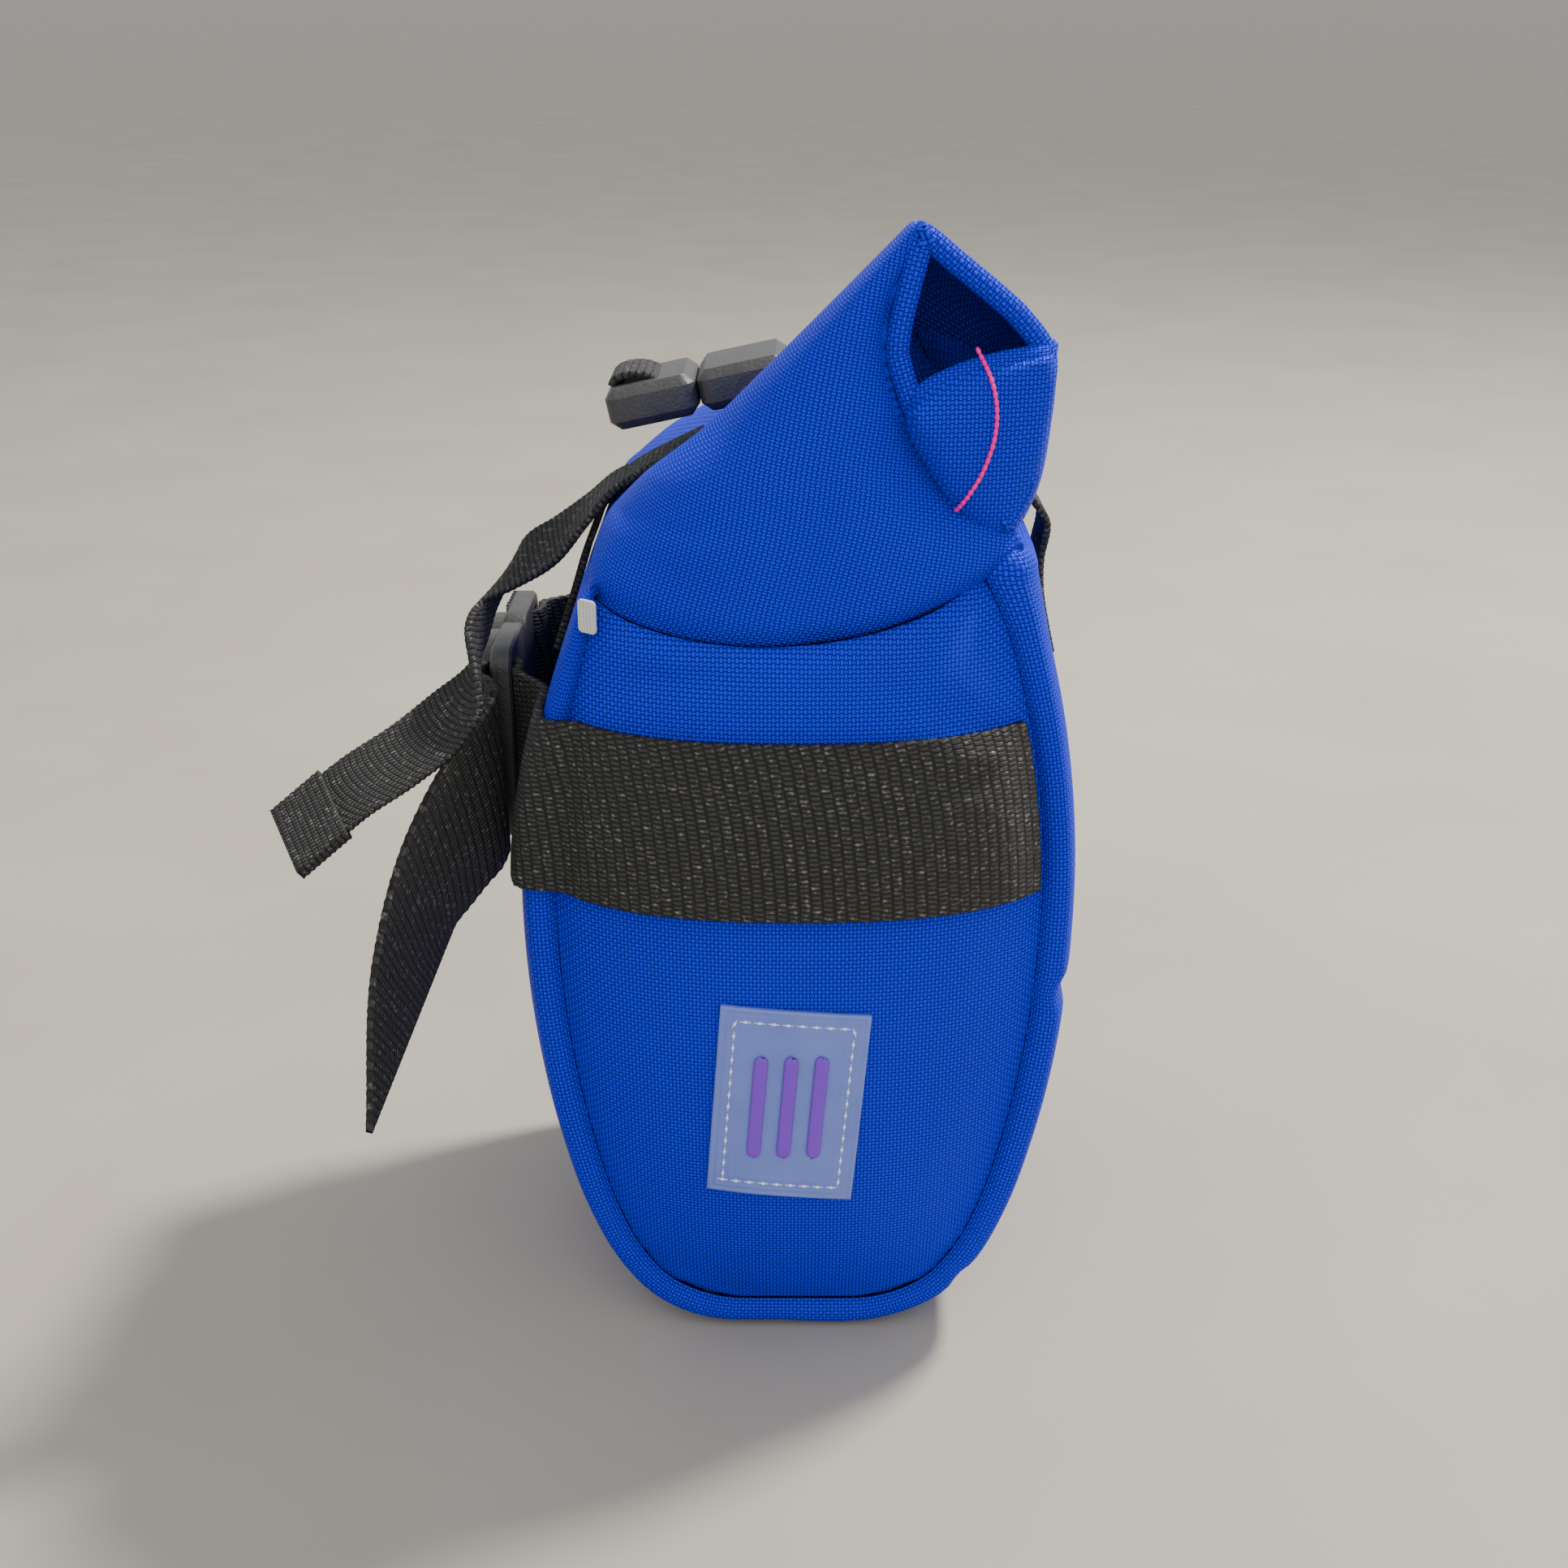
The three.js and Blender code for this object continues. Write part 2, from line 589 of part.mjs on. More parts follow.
function collarGeometry() {
  const whole = collarSheet().add(rollSheet()).add(rollSideWall()).add(rollFlap(-1)).add(rollFlap(1));
  const geometry = toGeometry(whole);
  const position = geometry.attributes.position;
  for (let i = 0; i < position.count; i += 1) {
    position.setZ(i, cinched(position.getY(i), position.getZ(i)));
  }
  return geometry;
}

// A polyline in a plane, moved sideways by a distance: positive is to the left of its direction.
function offsetPath(path, distance) {
  const segmentNormal = (from, to) => new THREE.Vector2(from.b - to.b, to.a - from.a).normalize();
  return path.map((here, i) => {
    const first = i === 0 ? segmentNormal(here, path[1]) : segmentNormal(path[i - 1], here);
    const second = i === path.length - 1 ? first : segmentNormal(here, path[i + 1]);
    const mean = first.clone().add(second).normalize();
    const reach = distance / Math.max(mitreLeast, mean.dot(second));
    return { a: here.a + mean.x * reach, b: here.b + mean.y * reach };
  });
}

// How far out the body reaches under the wide webbing's lower edge, where the buckle lies against it.
function wideOut() {
  const low = mountStrapZ - wideWebbing / 2;
  return seamHalf(low) + gussetStandOut(-1, low);
}

// Where the body's skin lies at one height, from the right seam over a panel to the gusset's left side.
function skinPath(side, z, bulge, folds, reach) {
  const path = strapShares.map((across) => ({
    a: across * seamHalf(z),
    b: side * panelY(across, z, bulge, folds),
  }));
  const out = gussetStandOut(-1, z);
  gussetTable.filter((row) => row.out > skinShare).forEach((row) => {
    const y = side * (halfDepth * (1 - row.inward) + rimRoll * row.forward);
    if (side * y > side * reach + turnRun) path.push({ a: -seamHalf(z) - out * row.out, b: y });
  });
  path.push({ a: -wideOut(), b: side * (side * reach + 0.5 * turnRun) });
  path.push({ a: -wideOut(), b: reach });
  return path;
}

// The wide webbing's face at one height: over the skin, then back round the buckle's bar.
function wideLine(side, z, bulge, folds, barY) {
  const lift = strapGap + wideThickness;
  const run = offsetPath(skinPath(side, z, bulge, folds, barY), -side * lift);
  const last = run[run.length - 1];
  const turn = shares(turnSteps).slice(1).map((share) => ({
    a: last.a - barRadius * (1 - Math.cos(Math.PI * share)),
    b: last.b - side * barRadius * Math.sin(Math.PI * share),
  }));
  return [...run, ...turn];
}

function wideStrapGrid(side, bulge, folds, barY, tail) {
  const columns = shares(wideColumns).map((share) => {
    const z = mountStrapZ + wideWebbing * (0.5 - share);
    const line = wideLine(side, z, bulge, folds, barY);
    const end = line[line.length - 1];
    const free = tail.map((row) => {
      const part = (value) => wideTail * THREE.MathUtils.lerp(row[`top${value}`], row[`low${value}`], share);
      return new THREE.Vector3(end.a - part('Out'), end.b + side * part('Forward'), z - part('Drop'));
    });
    return [...line.map((at) => new THREE.Vector3(at.a, at.b, z)), ...free];
  });
  const rows = columns[0].map((unused, i) => columns.map((column) => column[i]));
  return side < 0 ? rows.map((line) => line.slice().reverse()) : rows;
}

function roundedFrame(width, height, corner) {
  const shape = new THREE.Shape();
  const x = width / 2;
  const y = height / 2;
  shape.moveTo(-x + corner, -y);
  shape.lineTo(x - corner, -y);
  shape.absarc(x - corner, -y + corner, corner, -Math.PI / 2, 0);
  shape.lineTo(x, y - corner);
  shape.absarc(x - corner, y - corner, corner, 0, Math.PI / 2);
  shape.lineTo(-x + corner, y);
  shape.absarc(-x + corner, y - corner, corner, Math.PI / 2, Math.PI);
  shape.lineTo(-x, -y + corner);
  shape.absarc(-x + corner, -y + corner, corner, Math.PI, 1.5 * Math.PI);
  return shape;
}

function plateGeometry(shape, thickness, bevel) {
  return new THREE.ExtrudeGeometry(shape, {
    depth: thickness - 2 * bevel,
    bevelThickness: bevel,
    bevelSize: bevel,
    bevelOffset: -bevel,
    bevelSegments: 1,
    curveSegments: cornerSteps,
  }).translate(0, 0, bevel);
}

// One half of the wide buckle: a plate with a slot, whose outer end is the bar that the webbing goes round.
function wideBuckleHalf(side) {
  const { length, height, thickness, corner, bevel, edgeBevel } = mountBuckle;
  const half = length / 2 - 0.5 * buckleGap;
  const openLength = barWidth + slotWidth + plateOverlap;
  const barThickness = 2 * (barRadius - strapGap);
  const frame = toSolid(plateGeometry(roundedFrame(half, height, corner), barThickness, edgeBevel));
  const slot = new THREE.BoxGeometry(slotWidth, wideWebbing + slotSpare, 3 * thickness);
  slot.translate(side * (half / 2 - barWidth - slotWidth / 2), 0, 0);
  const plate = plateGeometry(roundedFrame(half - openLength, height - plateInset, corner), thickness, bevel);
  const body = toSolid(plate.translate(-side * 0.5 * openLength, 0, 0));
  return toGeometry(frame.add(body).subtract(toSolid(slot)));
}

function mountBarY(side) {
  return buckleY + side * (mountBuckle.length / 2 - barWidth - barEase);
}

function placeWideBuckle(side) {
  const geometry = wideBuckleHalf(side);
  const along = side * (mountBuckle.length / 4 + 0.25 * buckleGap);
  geometry.rotateY(-Math.PI / 2);
  geometry.rotateX(-Math.PI / 2);
  return geometry.translate(-(wideOut() + strapGap * 2 + wideThickness), buckleY + along, mountStrapZ);
}

// The closing strap's line over the middle of the collar, from its left foot to the roll's bottom.
function collarLine() {
  const slope = shares(collarRows).map((level) => collarRow(level));
  const left = slope.map((row) => ({ a: row.left, b: cinched(0, collarBase + row.rise) }));
  const roll = rollSection().slice(0, rollStrapRows).map((at) => ({ a: at.x, b: cinched(0, at.z) }));
  return [...left, ...roll];
}

function gussetLine(sign, low, high) {
  return shares(gussetLineSteps).map((share) => {
    const z = THREE.MathUtils.lerp(low, high, share);
    return { a: sign * (seamHalf(z) + gussetStandOut(sign, z)), b: z };
  });
}

// A point at a share of the length of a path.
function alongPath(path, share) {
  const lengths = path.slice(1).map((at, i) => Math.hypot(at.a - path[i].a, at.b - path[i].b));
  let left = share * lengths.reduce((sum, length) => sum + length, 0);
  let i = 0;
  while (i < lengths.length - 1 && left > lengths[i]) {
    left -= lengths[i];
    i += 1;
  }
  const t = left / lengths[i];
  return {
    a: THREE.MathUtils.lerp(path[i].a, path[i + 1].a, t),
    b: THREE.MathUtils.lerp(path[i].b, path[i + 1].b, t),
  };
}

// A flat strap whose face follows a path in the XZ plane, with its width along Y.
function flatStrap(path, width, thickness) {
  const across = [0.5, 0, -0.5];
  const point = (at, share) => new THREE.Vector3(at.a, closureY + share * width, at.b);
  const grid = path.map((at) => across.map((share) => point(at, share)));
  return sheetGeometry(grid, thickness);
}

function closureLeftPath() {
  const foot = mountStrapZ + wideWebbing / 2 + strapGap;
  const side = gussetLine(-1, foot, creaseZ(-1) - creaseEase);
  const collar = collarLine().slice(1, collarStrapRows);
  return offsetPath([...side, ...collar], strapGap + narrowThickness);
}

// The middle of the free tail at a row of its table, from where it leaves the buckle.
function tailMiddle(start, row) {
  return new THREE.Vector3(
    start.a - row.out * closureTail,
    closureY - row.forward * closureTail,
    start.b - row.drop * closureTail,
  );
}

function tailLean(row) {
  return new THREE.Vector3(row.leanX, row.leanY, row.leanZ).normalize();
}

function closureTailSheet(start) {
  const grid = closureTailTable.map((row) => [-0.5, 0, 0.5].map((share) => (
    tailMiddle(start, row).addScaledVector(tailLean(row), share * narrowWebbing)
  )));
  return toSolid(sheetGeometry(grid, narrowThickness));
}

// The folded and sewn end of the closing strap's tail: a short pad as thick as three layers.
function tailHem(start) {
  const last = closureTailTable[closureTailTable.length - 1];
  const before = closureTailTable[closureTailTable.length - 2];
  const end = tailMiddle(start, last);
  const along = new THREE.Vector3().subVectors(end, tailMiddle(start, before)).normalize();
  const normal = new THREE.Vector3().crossVectors(along, tailLean(last)).normalize();
  const across = new THREE.Vector3().crossVectors(normal, along);
  const shape = roundedFrame(hem.length, narrowWebbing + hem.spare, hem.corner);
  const geometry = plateGeometry(shape, hem.thickness, hem.bevel);
  geometry.translate(0, 0, -hem.thickness / 2);
  geometry.applyMatrix4(new THREE.Matrix4().makeBasis(along, across, normal));
  return toSolid(geometry.translate(end.x, end.y, end.z));
}

function closureStrapGeometry() {
  const path = closureLeftPath();
  const run = toSolid(flatStrap(path, narrowWebbing, narrowThickness));
  const start = path[path.length - 3];
  return toGeometry(run.add(closureTailSheet(start)).add(tailHem(start)));
}

function closureRightPath() {
  const over = collarLine().slice(overStrapRows);
  const side = gussetLine(1, mountStrapZ + wideWebbing / 2, creaseZ(1) - creaseEase).reverse();
  return offsetPath([...over, ...side], strapGap + narrowThickness);
}

// The narrow buckle lies on the collar's slope: its halves meet end to end.
function closureBuckleHalf(side) {
  const { length, width, thickness, corner, bevel } = closureBuckle;
  const half = length / 2 - 0.5 * buckleGap;
  const geometry = plateGeometry(roundedFrame(half, width, corner), thickness, bevel);
  const line = collarLine();
  const low = line[buckleLowRows];
  const high = line[buckleHighRows];
  const slope = buckleSettle * Math.atan2(high.b - low.b, high.a - low.a);
  geometry.translate(side * (half / 2 + 0.5 * buckleGap), 0, 2 * strapGap + narrowThickness);
  geometry.rotateY(-slope);
  const centre = alongPath(line.slice(buckleLowRows, buckleHighRows + 1), 0.5);
  const liftX = -Math.sin(slope) * buckleLift;
  const liftZ = Math.cos(slope) * buckleLift;
  return geometry.translate(centre.a + liftX, closureY, centre.b + liftZ);
}

// A point on the front panel's face, a clearance above it.
function onPanel(x, z, lift) {
  const y = -panelY(x / seamHalf(z), z, panelBulge, panelFolds) - lift;
  return new THREE.Vector3(x, y, z);
}

// A plate that follows the front panel: its middle, size and turn are in the panel's plane.
function patchGrid(centreX, centreZ, width, height, lift) {
  const turn = THREE.MathUtils.degToRad(patch.turnDeg);
  return shares(patchRows).map((row) => shares(patchColumns).map((column) => {
    const x = (column - 0.5) * width;
    const z = (row - 0.5) * height;
    return onPanel(
      centreX + x * Math.cos(turn) + z * Math.sin(turn),
      centreZ - x * Math.sin(turn) + z * Math.cos(turn),
      lift,
    );
  }));
}

function tabGeometry() {
  const z = bodyHeight - tabPlace.belowTop;
  const geometry = plateGeometry(roundedFrame(tab.width, tab.height, tab.corner), tab.thickness, tab.bevel);
  geometry.rotateX(Math.PI / 2);
  geometry.rotateZ(-THREE.MathUtils.degToRad(tabPlace.turnDeg));
  return geometry.translate(-seamHalf(z) * tabPlace.across, -halfDepth - tabPlace.lift, z);
}

function patchGeometry() {
  const { centreX, centreZ, width, height, thickness } = patch;
  return sheetGeometry(patchGrid(centreX, centreZ, width, height, thickness + seamGap), thickness);
}

addPiece('collar', collarGeometry(), nylon);
addPiece(
  'mount_strap',
  sheetGeometry(wideStrapGrid(-1, panelBulge, panelFolds, mountBarY(-1), wideTailTable), wideThickness),
  webbing,
);
addPiece(
  'mount_strap_back',
  sheetGeometry(wideStrapGrid(1, backBulge, [], mountBarY(1), foldBackTable), wideThickness),
  webbing,
);
addPiece('mount_buckle_clip', placeWideBuckle(-1), plastic);
addPiece('mount_buckle_socket', placeWideBuckle(1), plastic);
addPiece('closure_strap', closureStrapGeometry(), webbing);
addPiece('closure_strap_right', flatStrap(closureRightPath(), narrowWebbing, narrowThickness), webbing);
addPiece('closure_buckle_clip', closureBuckleHalf(-1), plastic);
addPiece('closure_buckle_socket', closureBuckleHalf(1), plastic);
addPiece('label_patch', patchGeometry(), frosted);
shares(bars.count - 1).forEach((share, i) => {
  const x = patch.centreX + (share - 0.5) * bars.pitch * (bars.count - 1);
  const lift = patch.thickness + 2 * seamGap + bars.thickness;
  addPiece(
    `label_bar_${i + 1}`,
    sheetGeometry(patchGrid(x, patch.centreZ, bars.width, bars.height, lift), bars.thickness),
    purple,
  );
});
addPiece('side_tab', tabGeometry(), offWhite);

export default group;
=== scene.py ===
# %% [markdown]
# # A roll-top saddle bag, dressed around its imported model
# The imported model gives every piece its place. This lesson makes the cloth, webbing, buckles and thread that show,
# in the same frame and in metres, one step at a time.

# %% Load the frame
import math

import bpy
import numpy as np
from mathutils import Matrix, Vector


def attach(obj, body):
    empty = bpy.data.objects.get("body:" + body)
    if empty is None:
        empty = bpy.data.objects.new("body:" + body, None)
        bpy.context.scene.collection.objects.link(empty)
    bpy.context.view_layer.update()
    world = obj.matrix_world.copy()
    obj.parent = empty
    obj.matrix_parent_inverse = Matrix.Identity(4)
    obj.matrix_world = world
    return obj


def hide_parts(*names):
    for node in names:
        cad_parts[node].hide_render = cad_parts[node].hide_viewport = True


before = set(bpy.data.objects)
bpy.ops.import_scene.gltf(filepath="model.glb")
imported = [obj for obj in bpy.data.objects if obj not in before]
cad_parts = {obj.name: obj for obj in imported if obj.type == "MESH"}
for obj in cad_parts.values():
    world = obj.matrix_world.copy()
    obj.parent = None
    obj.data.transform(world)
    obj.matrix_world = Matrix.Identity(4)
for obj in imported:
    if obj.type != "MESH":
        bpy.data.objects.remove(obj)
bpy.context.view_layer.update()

MM = 0.001

# %% [markdown]
# ## Tables of shape
# A sewn bag has no straight edges to measure, so each curve is a short table of shares that is read smoothly between
# its rows. The sizes are those of the real bag, in millimetres, and the mesh maker turns them into metres.

# %% Read a table smoothly
def read(table, at):
    """The second column of a table at a value of the first, with a smooth curve through the rows."""
    keys, values = np.array(table, float).T
    slopes = np.gradient(values, keys)
    at = np.clip(np.asarray(at, float), keys[0], keys[-1])
    row = np.clip(np.searchsorted(keys, at, side="right") - 1, 0, len(keys) - 2)
    span = keys[row + 1] - keys[row]
    t = (at - keys[row]) / span
    return (
        values[row] * (2 * t**3 - 3 * t**2 + 1) + slopes[row] * span * (t**3 - 2 * t**2 + t)
        + values[row + 1] * (3 * t**2 - 2 * t**3) + slopes[row + 1] * span * (t**3 - t**2)
    )

# %% Sizes and tables of the body
SEAM_HALF, BODY_TOP, SEAM_LIFT, BODY_DEPTH = 52.5, 182.0, 8.0, 96.0
HALF_DEPTH, TOP_HEIGHT = BODY_DEPTH / 2, BODY_TOP - SEAM_LIFT
CLOTH, RIM_ROLL, GUSSET_BULGE = 1.2, 2.2, 9.5
FRONT_BULGE, BACK_BULGE = 18.0, 13.0
CREASE_SAG, EAR_RISE, CREASE_DROP = 9.0, 7.0, 5.0
SEAM = [(0, .34), (.02, .5), (.07, .66), (.14, .77), (.25, .87), (.38, .945), (.52, .985), (.66, .985),
        (.8, .925), (.92, .83), (1, .77)]
DOME = [(0, 0), (.04, .22), (.1, .48), (.2, .74), (.4, .93), (.62, 1), (.8, .92), (.93, .76), (1, .6)]
SQUEEZE_LEFT = [(0, .9), (.35, 1), (.7, .88), (.88, .62), (1, .42)]
SQUEEZE_RIGHT = [(0, .9), (.35, 1), (.7, .92), (.88, .95), (1, 1)]
# Pull folds: across, height, length, width, depth, turn in degrees; all but the turn are shares.
PANEL_FOLDS = [(.72, .84, .3, .07, .1, -24), (.55, .79, .26, .05, .06, -12), (.86, .57, .2, .06, .08, 62),
               (-.5, .9, .4, .06, .07, 8)]
RIM_FOLDS = [(1, .47, .16, .05, .09, 20), (.66, .05, .08, .05, .07, -40)]


def crease_z(across):
    return BODY_TOP - CREASE_DROP + 0.5 * (1 + across) * EAR_RISE - CREASE_SAG * (1 - across**2)


def seam_half(z):
    return SEAM_HALF * read(SEAM, (z - SEAM_LIFT) / TOP_HEIGHT)


def ear(x, z):
    """How far the right upper corner of the seam is drawn in, with the gusset filling the place."""
    return 4.5 * np.where(np.asarray(x) > 0, np.clip((z - 163) / 22, 0, 1) ** 2, 0)


def crown(across):
    return (1 - np.minimum(np.abs(across), 1) ** 2.6) ** 0.8


def fold_depth(folds, x, z):
    """How deep the soft troughs of a list of folds are at points of a panel."""
    depth = np.zeros(np.broadcast(x, z).shape)
    for across, height, length, width, deep, turn_deg in folds:
        turn = math.radians(turn_deg)
        dx, dz = x - across * SEAM_HALF, z - SEAM_LIFT - height * TOP_HEIGHT
        along = dx * math.cos(turn) + dz * math.sin(turn)
        over = dz * math.cos(turn) - dx * math.sin(turn)
        reach = (along / (length * SEAM_HALF)) ** 2 + (over / (width * SEAM_HALF)) ** 2
        depth = depth + deep * FRONT_BULGE * np.exp(-reach)
    return depth


def panel_y(across, z, bulge, folds):
    dome = bulge * read(DOME, (z - SEAM_LIFT) / TOP_HEIGHT) * crown(across)
    return HALF_DEPTH + dome - fold_depth(folds, across * seam_half(z), z) * crown(across)


def stand_out(x, z):
    share = (z - SEAM_LIFT) / TOP_HEIGHT
    return GUSSET_BULGE * np.where(x < 0, read(SQUEEZE_LEFT, share), read(SQUEEZE_RIGHT, share)) + ear(x, z)

# %% [markdown]
# ## Sheets
# Cloth is a thin wall. A grid of points is its outer face, a copy behind it is the inner one, and a strip closes the
# edges. The grid also carries a UV map in metres, so that the weave follows the cloth at its real scale.

# %% Make a sheet from a grid
def grid_normals(grid):
    along = np.gradient(grid, axis=0)
    across = np.gradient(grid, axis=1)
    normal = np.cross(across, along)
    return normal / np.maximum(np.linalg.norm(normal, axis=2, keepdims=True), 1e-9)


def lengths(grid, axis):
    """Distance along one direction of a grid, as a mean over the other."""
    step = np.linalg.norm(np.diff(grid, axis=axis), axis=2).mean(axis=1 - axis)
    return np.concatenate([[0], np.cumsum(step)])


def sheet_mesh(name, grid, thickness, material, floor=None, spread=None, relief=0.0):
    """A closed sheet as a Blender object: grid is rows x columns x 3, in millimetres, with its face outwards."""
    rows, columns = grid.shape[:2]
    raised = grid_normals(grid) * np.expand_dims(relief, -1)
    inner = grid - grid_normals(grid) * thickness - raised
    grid = grid + raised
    if floor is not None:
        low = grid[..., 2] < floor + thickness
        grid = grid.copy()
        grid[..., 2] = np.maximum(grid[..., 2], floor)
        inner[..., 2] = np.where(low, np.maximum(inner[..., 2], grid[..., 2] + thickness), inner[..., 2])
    number = np.arange(rows * columns).reshape(rows, columns)
    back = number + rows * columns

    def quads(a, b, c, d):
        return np.stack([a, b, c, d], axis=-1).reshape(-1, 4)

    faces = np.concatenate([
        quads(number[:-1, :-1], number[:-1, 1:], number[1:, 1:], number[1:, :-1]),
        quads(back[:-1, :-1], back[1:, :-1], back[1:, 1:], back[:-1, 1:]),
        quads(number[0, :-1], back[0, :-1], back[0, 1:], number[0, 1:]),
        quads(number[-1, 1:], back[-1, 1:], back[-1, :-1], number[-1, :-1]),
        quads(number[1:, 0], back[1:, 0], back[:-1, 0], number[:-1, 0]),
        quads(number[:-1, -1], back[:-1, -1], back[1:, -1], number[1:, -1]),
    ])
    mesh = bpy.data.meshes.new(name)
    mesh.from_pydata(np.concatenate([grid.reshape(-1, 3), inner.reshape(-1, 3)]) * MM, [], faces.tolist())
    if spread is None:
        spread = np.stack(np.meshgrid(lengths(grid, 1), lengths(grid, 0)), axis=-1)
    spread = np.tile(spread.reshape(-1, 2), (2, 1)) * MM
    corner = np.zeros(len(mesh.loops), int)
    mesh.loops.foreach_get("vertex_index", corner)
    mesh.uv_layers.new(name="cloth").data.foreach_set("uv", spread[corner].astype(np.float32).ravel())
    mesh.shade_smooth()
    mesh.materials.append(material)
    piece = bpy.data.objects.new(name, mesh)
    bpy.context.scene.collection.objects.link(piece)
    return piece


def finish_piece(piece, slot, *nodes):
    """Rides the piece on the bag's one body and hides the imported parts it stands for."""
    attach(piece, "root")
    if nodes:
        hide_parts(*nodes)
    print(piece.name, sum(len(face.vertices) - 2 for face in piece.data.polygons), "triangles")
    return piece

# %% [markdown]
# ## Shader maths as expressions
# A weave is arithmetic on a UV map. A small class wraps a socket, so that the arithmetic can be written as it is
# read, and adds the Math nodes behind it.

# %% Wrap sockets and overload the operators
class Value:
    """A number in a material that can be calculated with."""

    def __init__(self, shader, socket):
        self.shader, self.socket = shader, socket

    def math(self, operation, *others):
        sockets = dict(enumerate([self, *others]))
        return self.shader.node("ShaderNodeMath", {"operation": operation}, sockets)

    def __add__(self, other): return self.math("ADD", other)
    __radd__ = __add__
    def __mul__(self, other): return self.math("MULTIPLY", other)
    __rmul__ = __mul__
    def __sub__(self, other): return self.math("SUBTRACT", other)
    def __rsub__(self, other): return (self * -1) + other
    def __truediv__(self, other): return self.math("DIVIDE", other)
    def sine(self): return self.math("SINE")
    def size(self): return self.math("ABSOLUTE")
    def power(self, other): return self.math("POWER", other)
    def fraction(self): return self.math("FRACT")
    def clamp(self): return self.shader.node("ShaderNodeClamp", {}, {0: self})


class Shader:
    def __init__(self, name):
        self.material = bpy.data.materials.new(name)
        self.material.use_nodes = True
        self.tree = self.material.node_tree
        self.surface = self.tree.nodes["Principled BSDF"]

    def node(self, kind, settings, sockets, output=0):
        made = self.tree.nodes.new(kind)
        for key, value in settings.items():
            setattr(made, key, value)
        for key, value in sockets.items():
            self.join(made.inputs[key], value)
        return Value(self, made.outputs[output])

    def join(self, target, value):
        if isinstance(value, Value):
            self.tree.links.new(value.socket, target)
        else:
            target.default_value = value

    def split(self, vector):
        parts = self.tree.nodes.new("ShaderNodeSeparateXYZ")
        self.tree.links.new(vector.socket, parts.inputs[0])
        return [Value(self, parts.outputs[i]) for i in range(3)]

    def cloth_uv(self):
        return self.split(self.node("ShaderNodeUVMap", {"uv_map": "cloth"}, {}))

    def noise(self, scale, detail=3.0, output=0):
        place = self.node("ShaderNodeTexCoord", {}, {}, "Object")
        return self.node("ShaderNodeTexNoise", {}, {"Vector": place, "Scale": scale, "Detail": detail}, output)

    def mix(self, factor, first, second):
        return self.node("ShaderNodeMix", {"data_type": "RGBA"}, {0: factor, 6: first, 7: second}, 2)

    def bump(self, height, distance, strength=1.0):
        return self.node("ShaderNodeBump", {}, {"Height": height, "Distance": distance, "Strength": strength})

    def finish(self, **sockets):
        for key, value in sockets.items():
            self.join(self.surface.inputs[key.replace("_", " ")], value)
        return self.material

# %% [markdown]
# ## Nylon
# The cloth is a plain weave of shiny coated yarns: the upright ones float as small grains in a brick pattern
# and the crossing ones lie between them. The product of two sines says which yarn is on top. The colour is lighter
# on the high grains and darker between them, a painted highlight and painted shade, over a random cloudy tone.

# %% The blue cloth
WARP_PITCH, WEFT_PITCH = 0.00080, 0.00088


def make_nylon():
    shader = Shader("blue_nylon")
    u, v, _ = shader.cloth_uv()
    across = (u * (math.pi / WARP_PITCH) + shader.noise(160.0) * 0.9).sine()
    along = (v * (math.pi / WEFT_PITCH) + shader.noise(130.0) * 0.7).sine()
    upright = ((across * along) * 3.2 + 0.5).clamp()
    grain = across.size().power(0.8) * upright
    cross = along.size() * (1 - upright) * 0.72
    height = grain + cross
    cloudy = shader.noise(22.0, 4.0)
    # Yarn height sets the colour: painted highlight on the floating grains and painted shade in the gaps, plus a random
    # cloudy tone.
    painted_weave_light_and_tone = (height * 1.5 + cloudy * 0.24 - 0.5).clamp()
    colour = shader.mix(painted_weave_light_and_tone, (0.0, 0.0, 0.34, 1), (0.001, 0.035, 1.0, 1))
    return shader.finish(
        Base_Color=colour,
        Roughness=(0.60 - height * 0.16).clamp(),
        Normal=shader.bump(height, 0.0004, 1.0),
        Specular_IOR_Level=0.14,
    )


nylon = make_nylon()
print("nylon yarns every", WARP_PITCH / MM, "and", WEFT_PITCH / MM, "mm")

# %% [markdown]
# ## Front and back panels
# Each end is one U-shaped piece of cloth, domed by what is inside and gathered a little where it meets the gusset.
# Its outline is the seam, so the dome is a height over that outline, with the photo's pull folds taken out of it.

# %% Panels
PANEL_ROWS, PANEL_COLUMNS, SEAM_GAP = 150, 120, 0.35
SEAM_GROOVE, UNDER_RIM, TOP_TUCK = 1.1, 1.0, 2.2
PUCKER = 0.22


def panel_grid(side, bulge, folds):
    """Rows go up and columns across, turned so that the face looks outwards."""
    across = np.sin(np.linspace(-0.5, 0.5, PANEL_COLUMNS) * math.pi)[None, :]
    row = (np.linspace(0, 1, PANEL_ROWS) ** 1.15)[:, None]
    z = SEAM_LIFT + (crease_z(across) + 0.5 - SEAM_LIFT) * row
    x = across * (seam_half(z) + UNDER_RIM)
    x = x - ear(x, z) * np.clip((across - 0.55) / 0.45, 0, 1) ** 1.5
    y = panel_y(across, z, bulge, folds)
    top = z[-1:] + 0 * z
    y = y - TOP_TUCK * np.exp(-((top - z) / 2.6) ** 2)
    near = np.exp(-((1 - np.abs(across)) * seam_half(z) / 3.2) ** 2)
    y = y - near * (SEAM_GROOVE + PUCKER * np.sin(z * 1.9 + 0.8 * np.sin(z * 0.37)))
    grid = np.stack([x, side * y, z], axis=-1)
    return grid if side < 0 else grid[:, ::-1]


def flat_uv(grid):
    """The weave of a nearly flat panel runs straight up and across it."""
    return np.stack([grid[..., 0], grid[..., 2]], axis=-1)


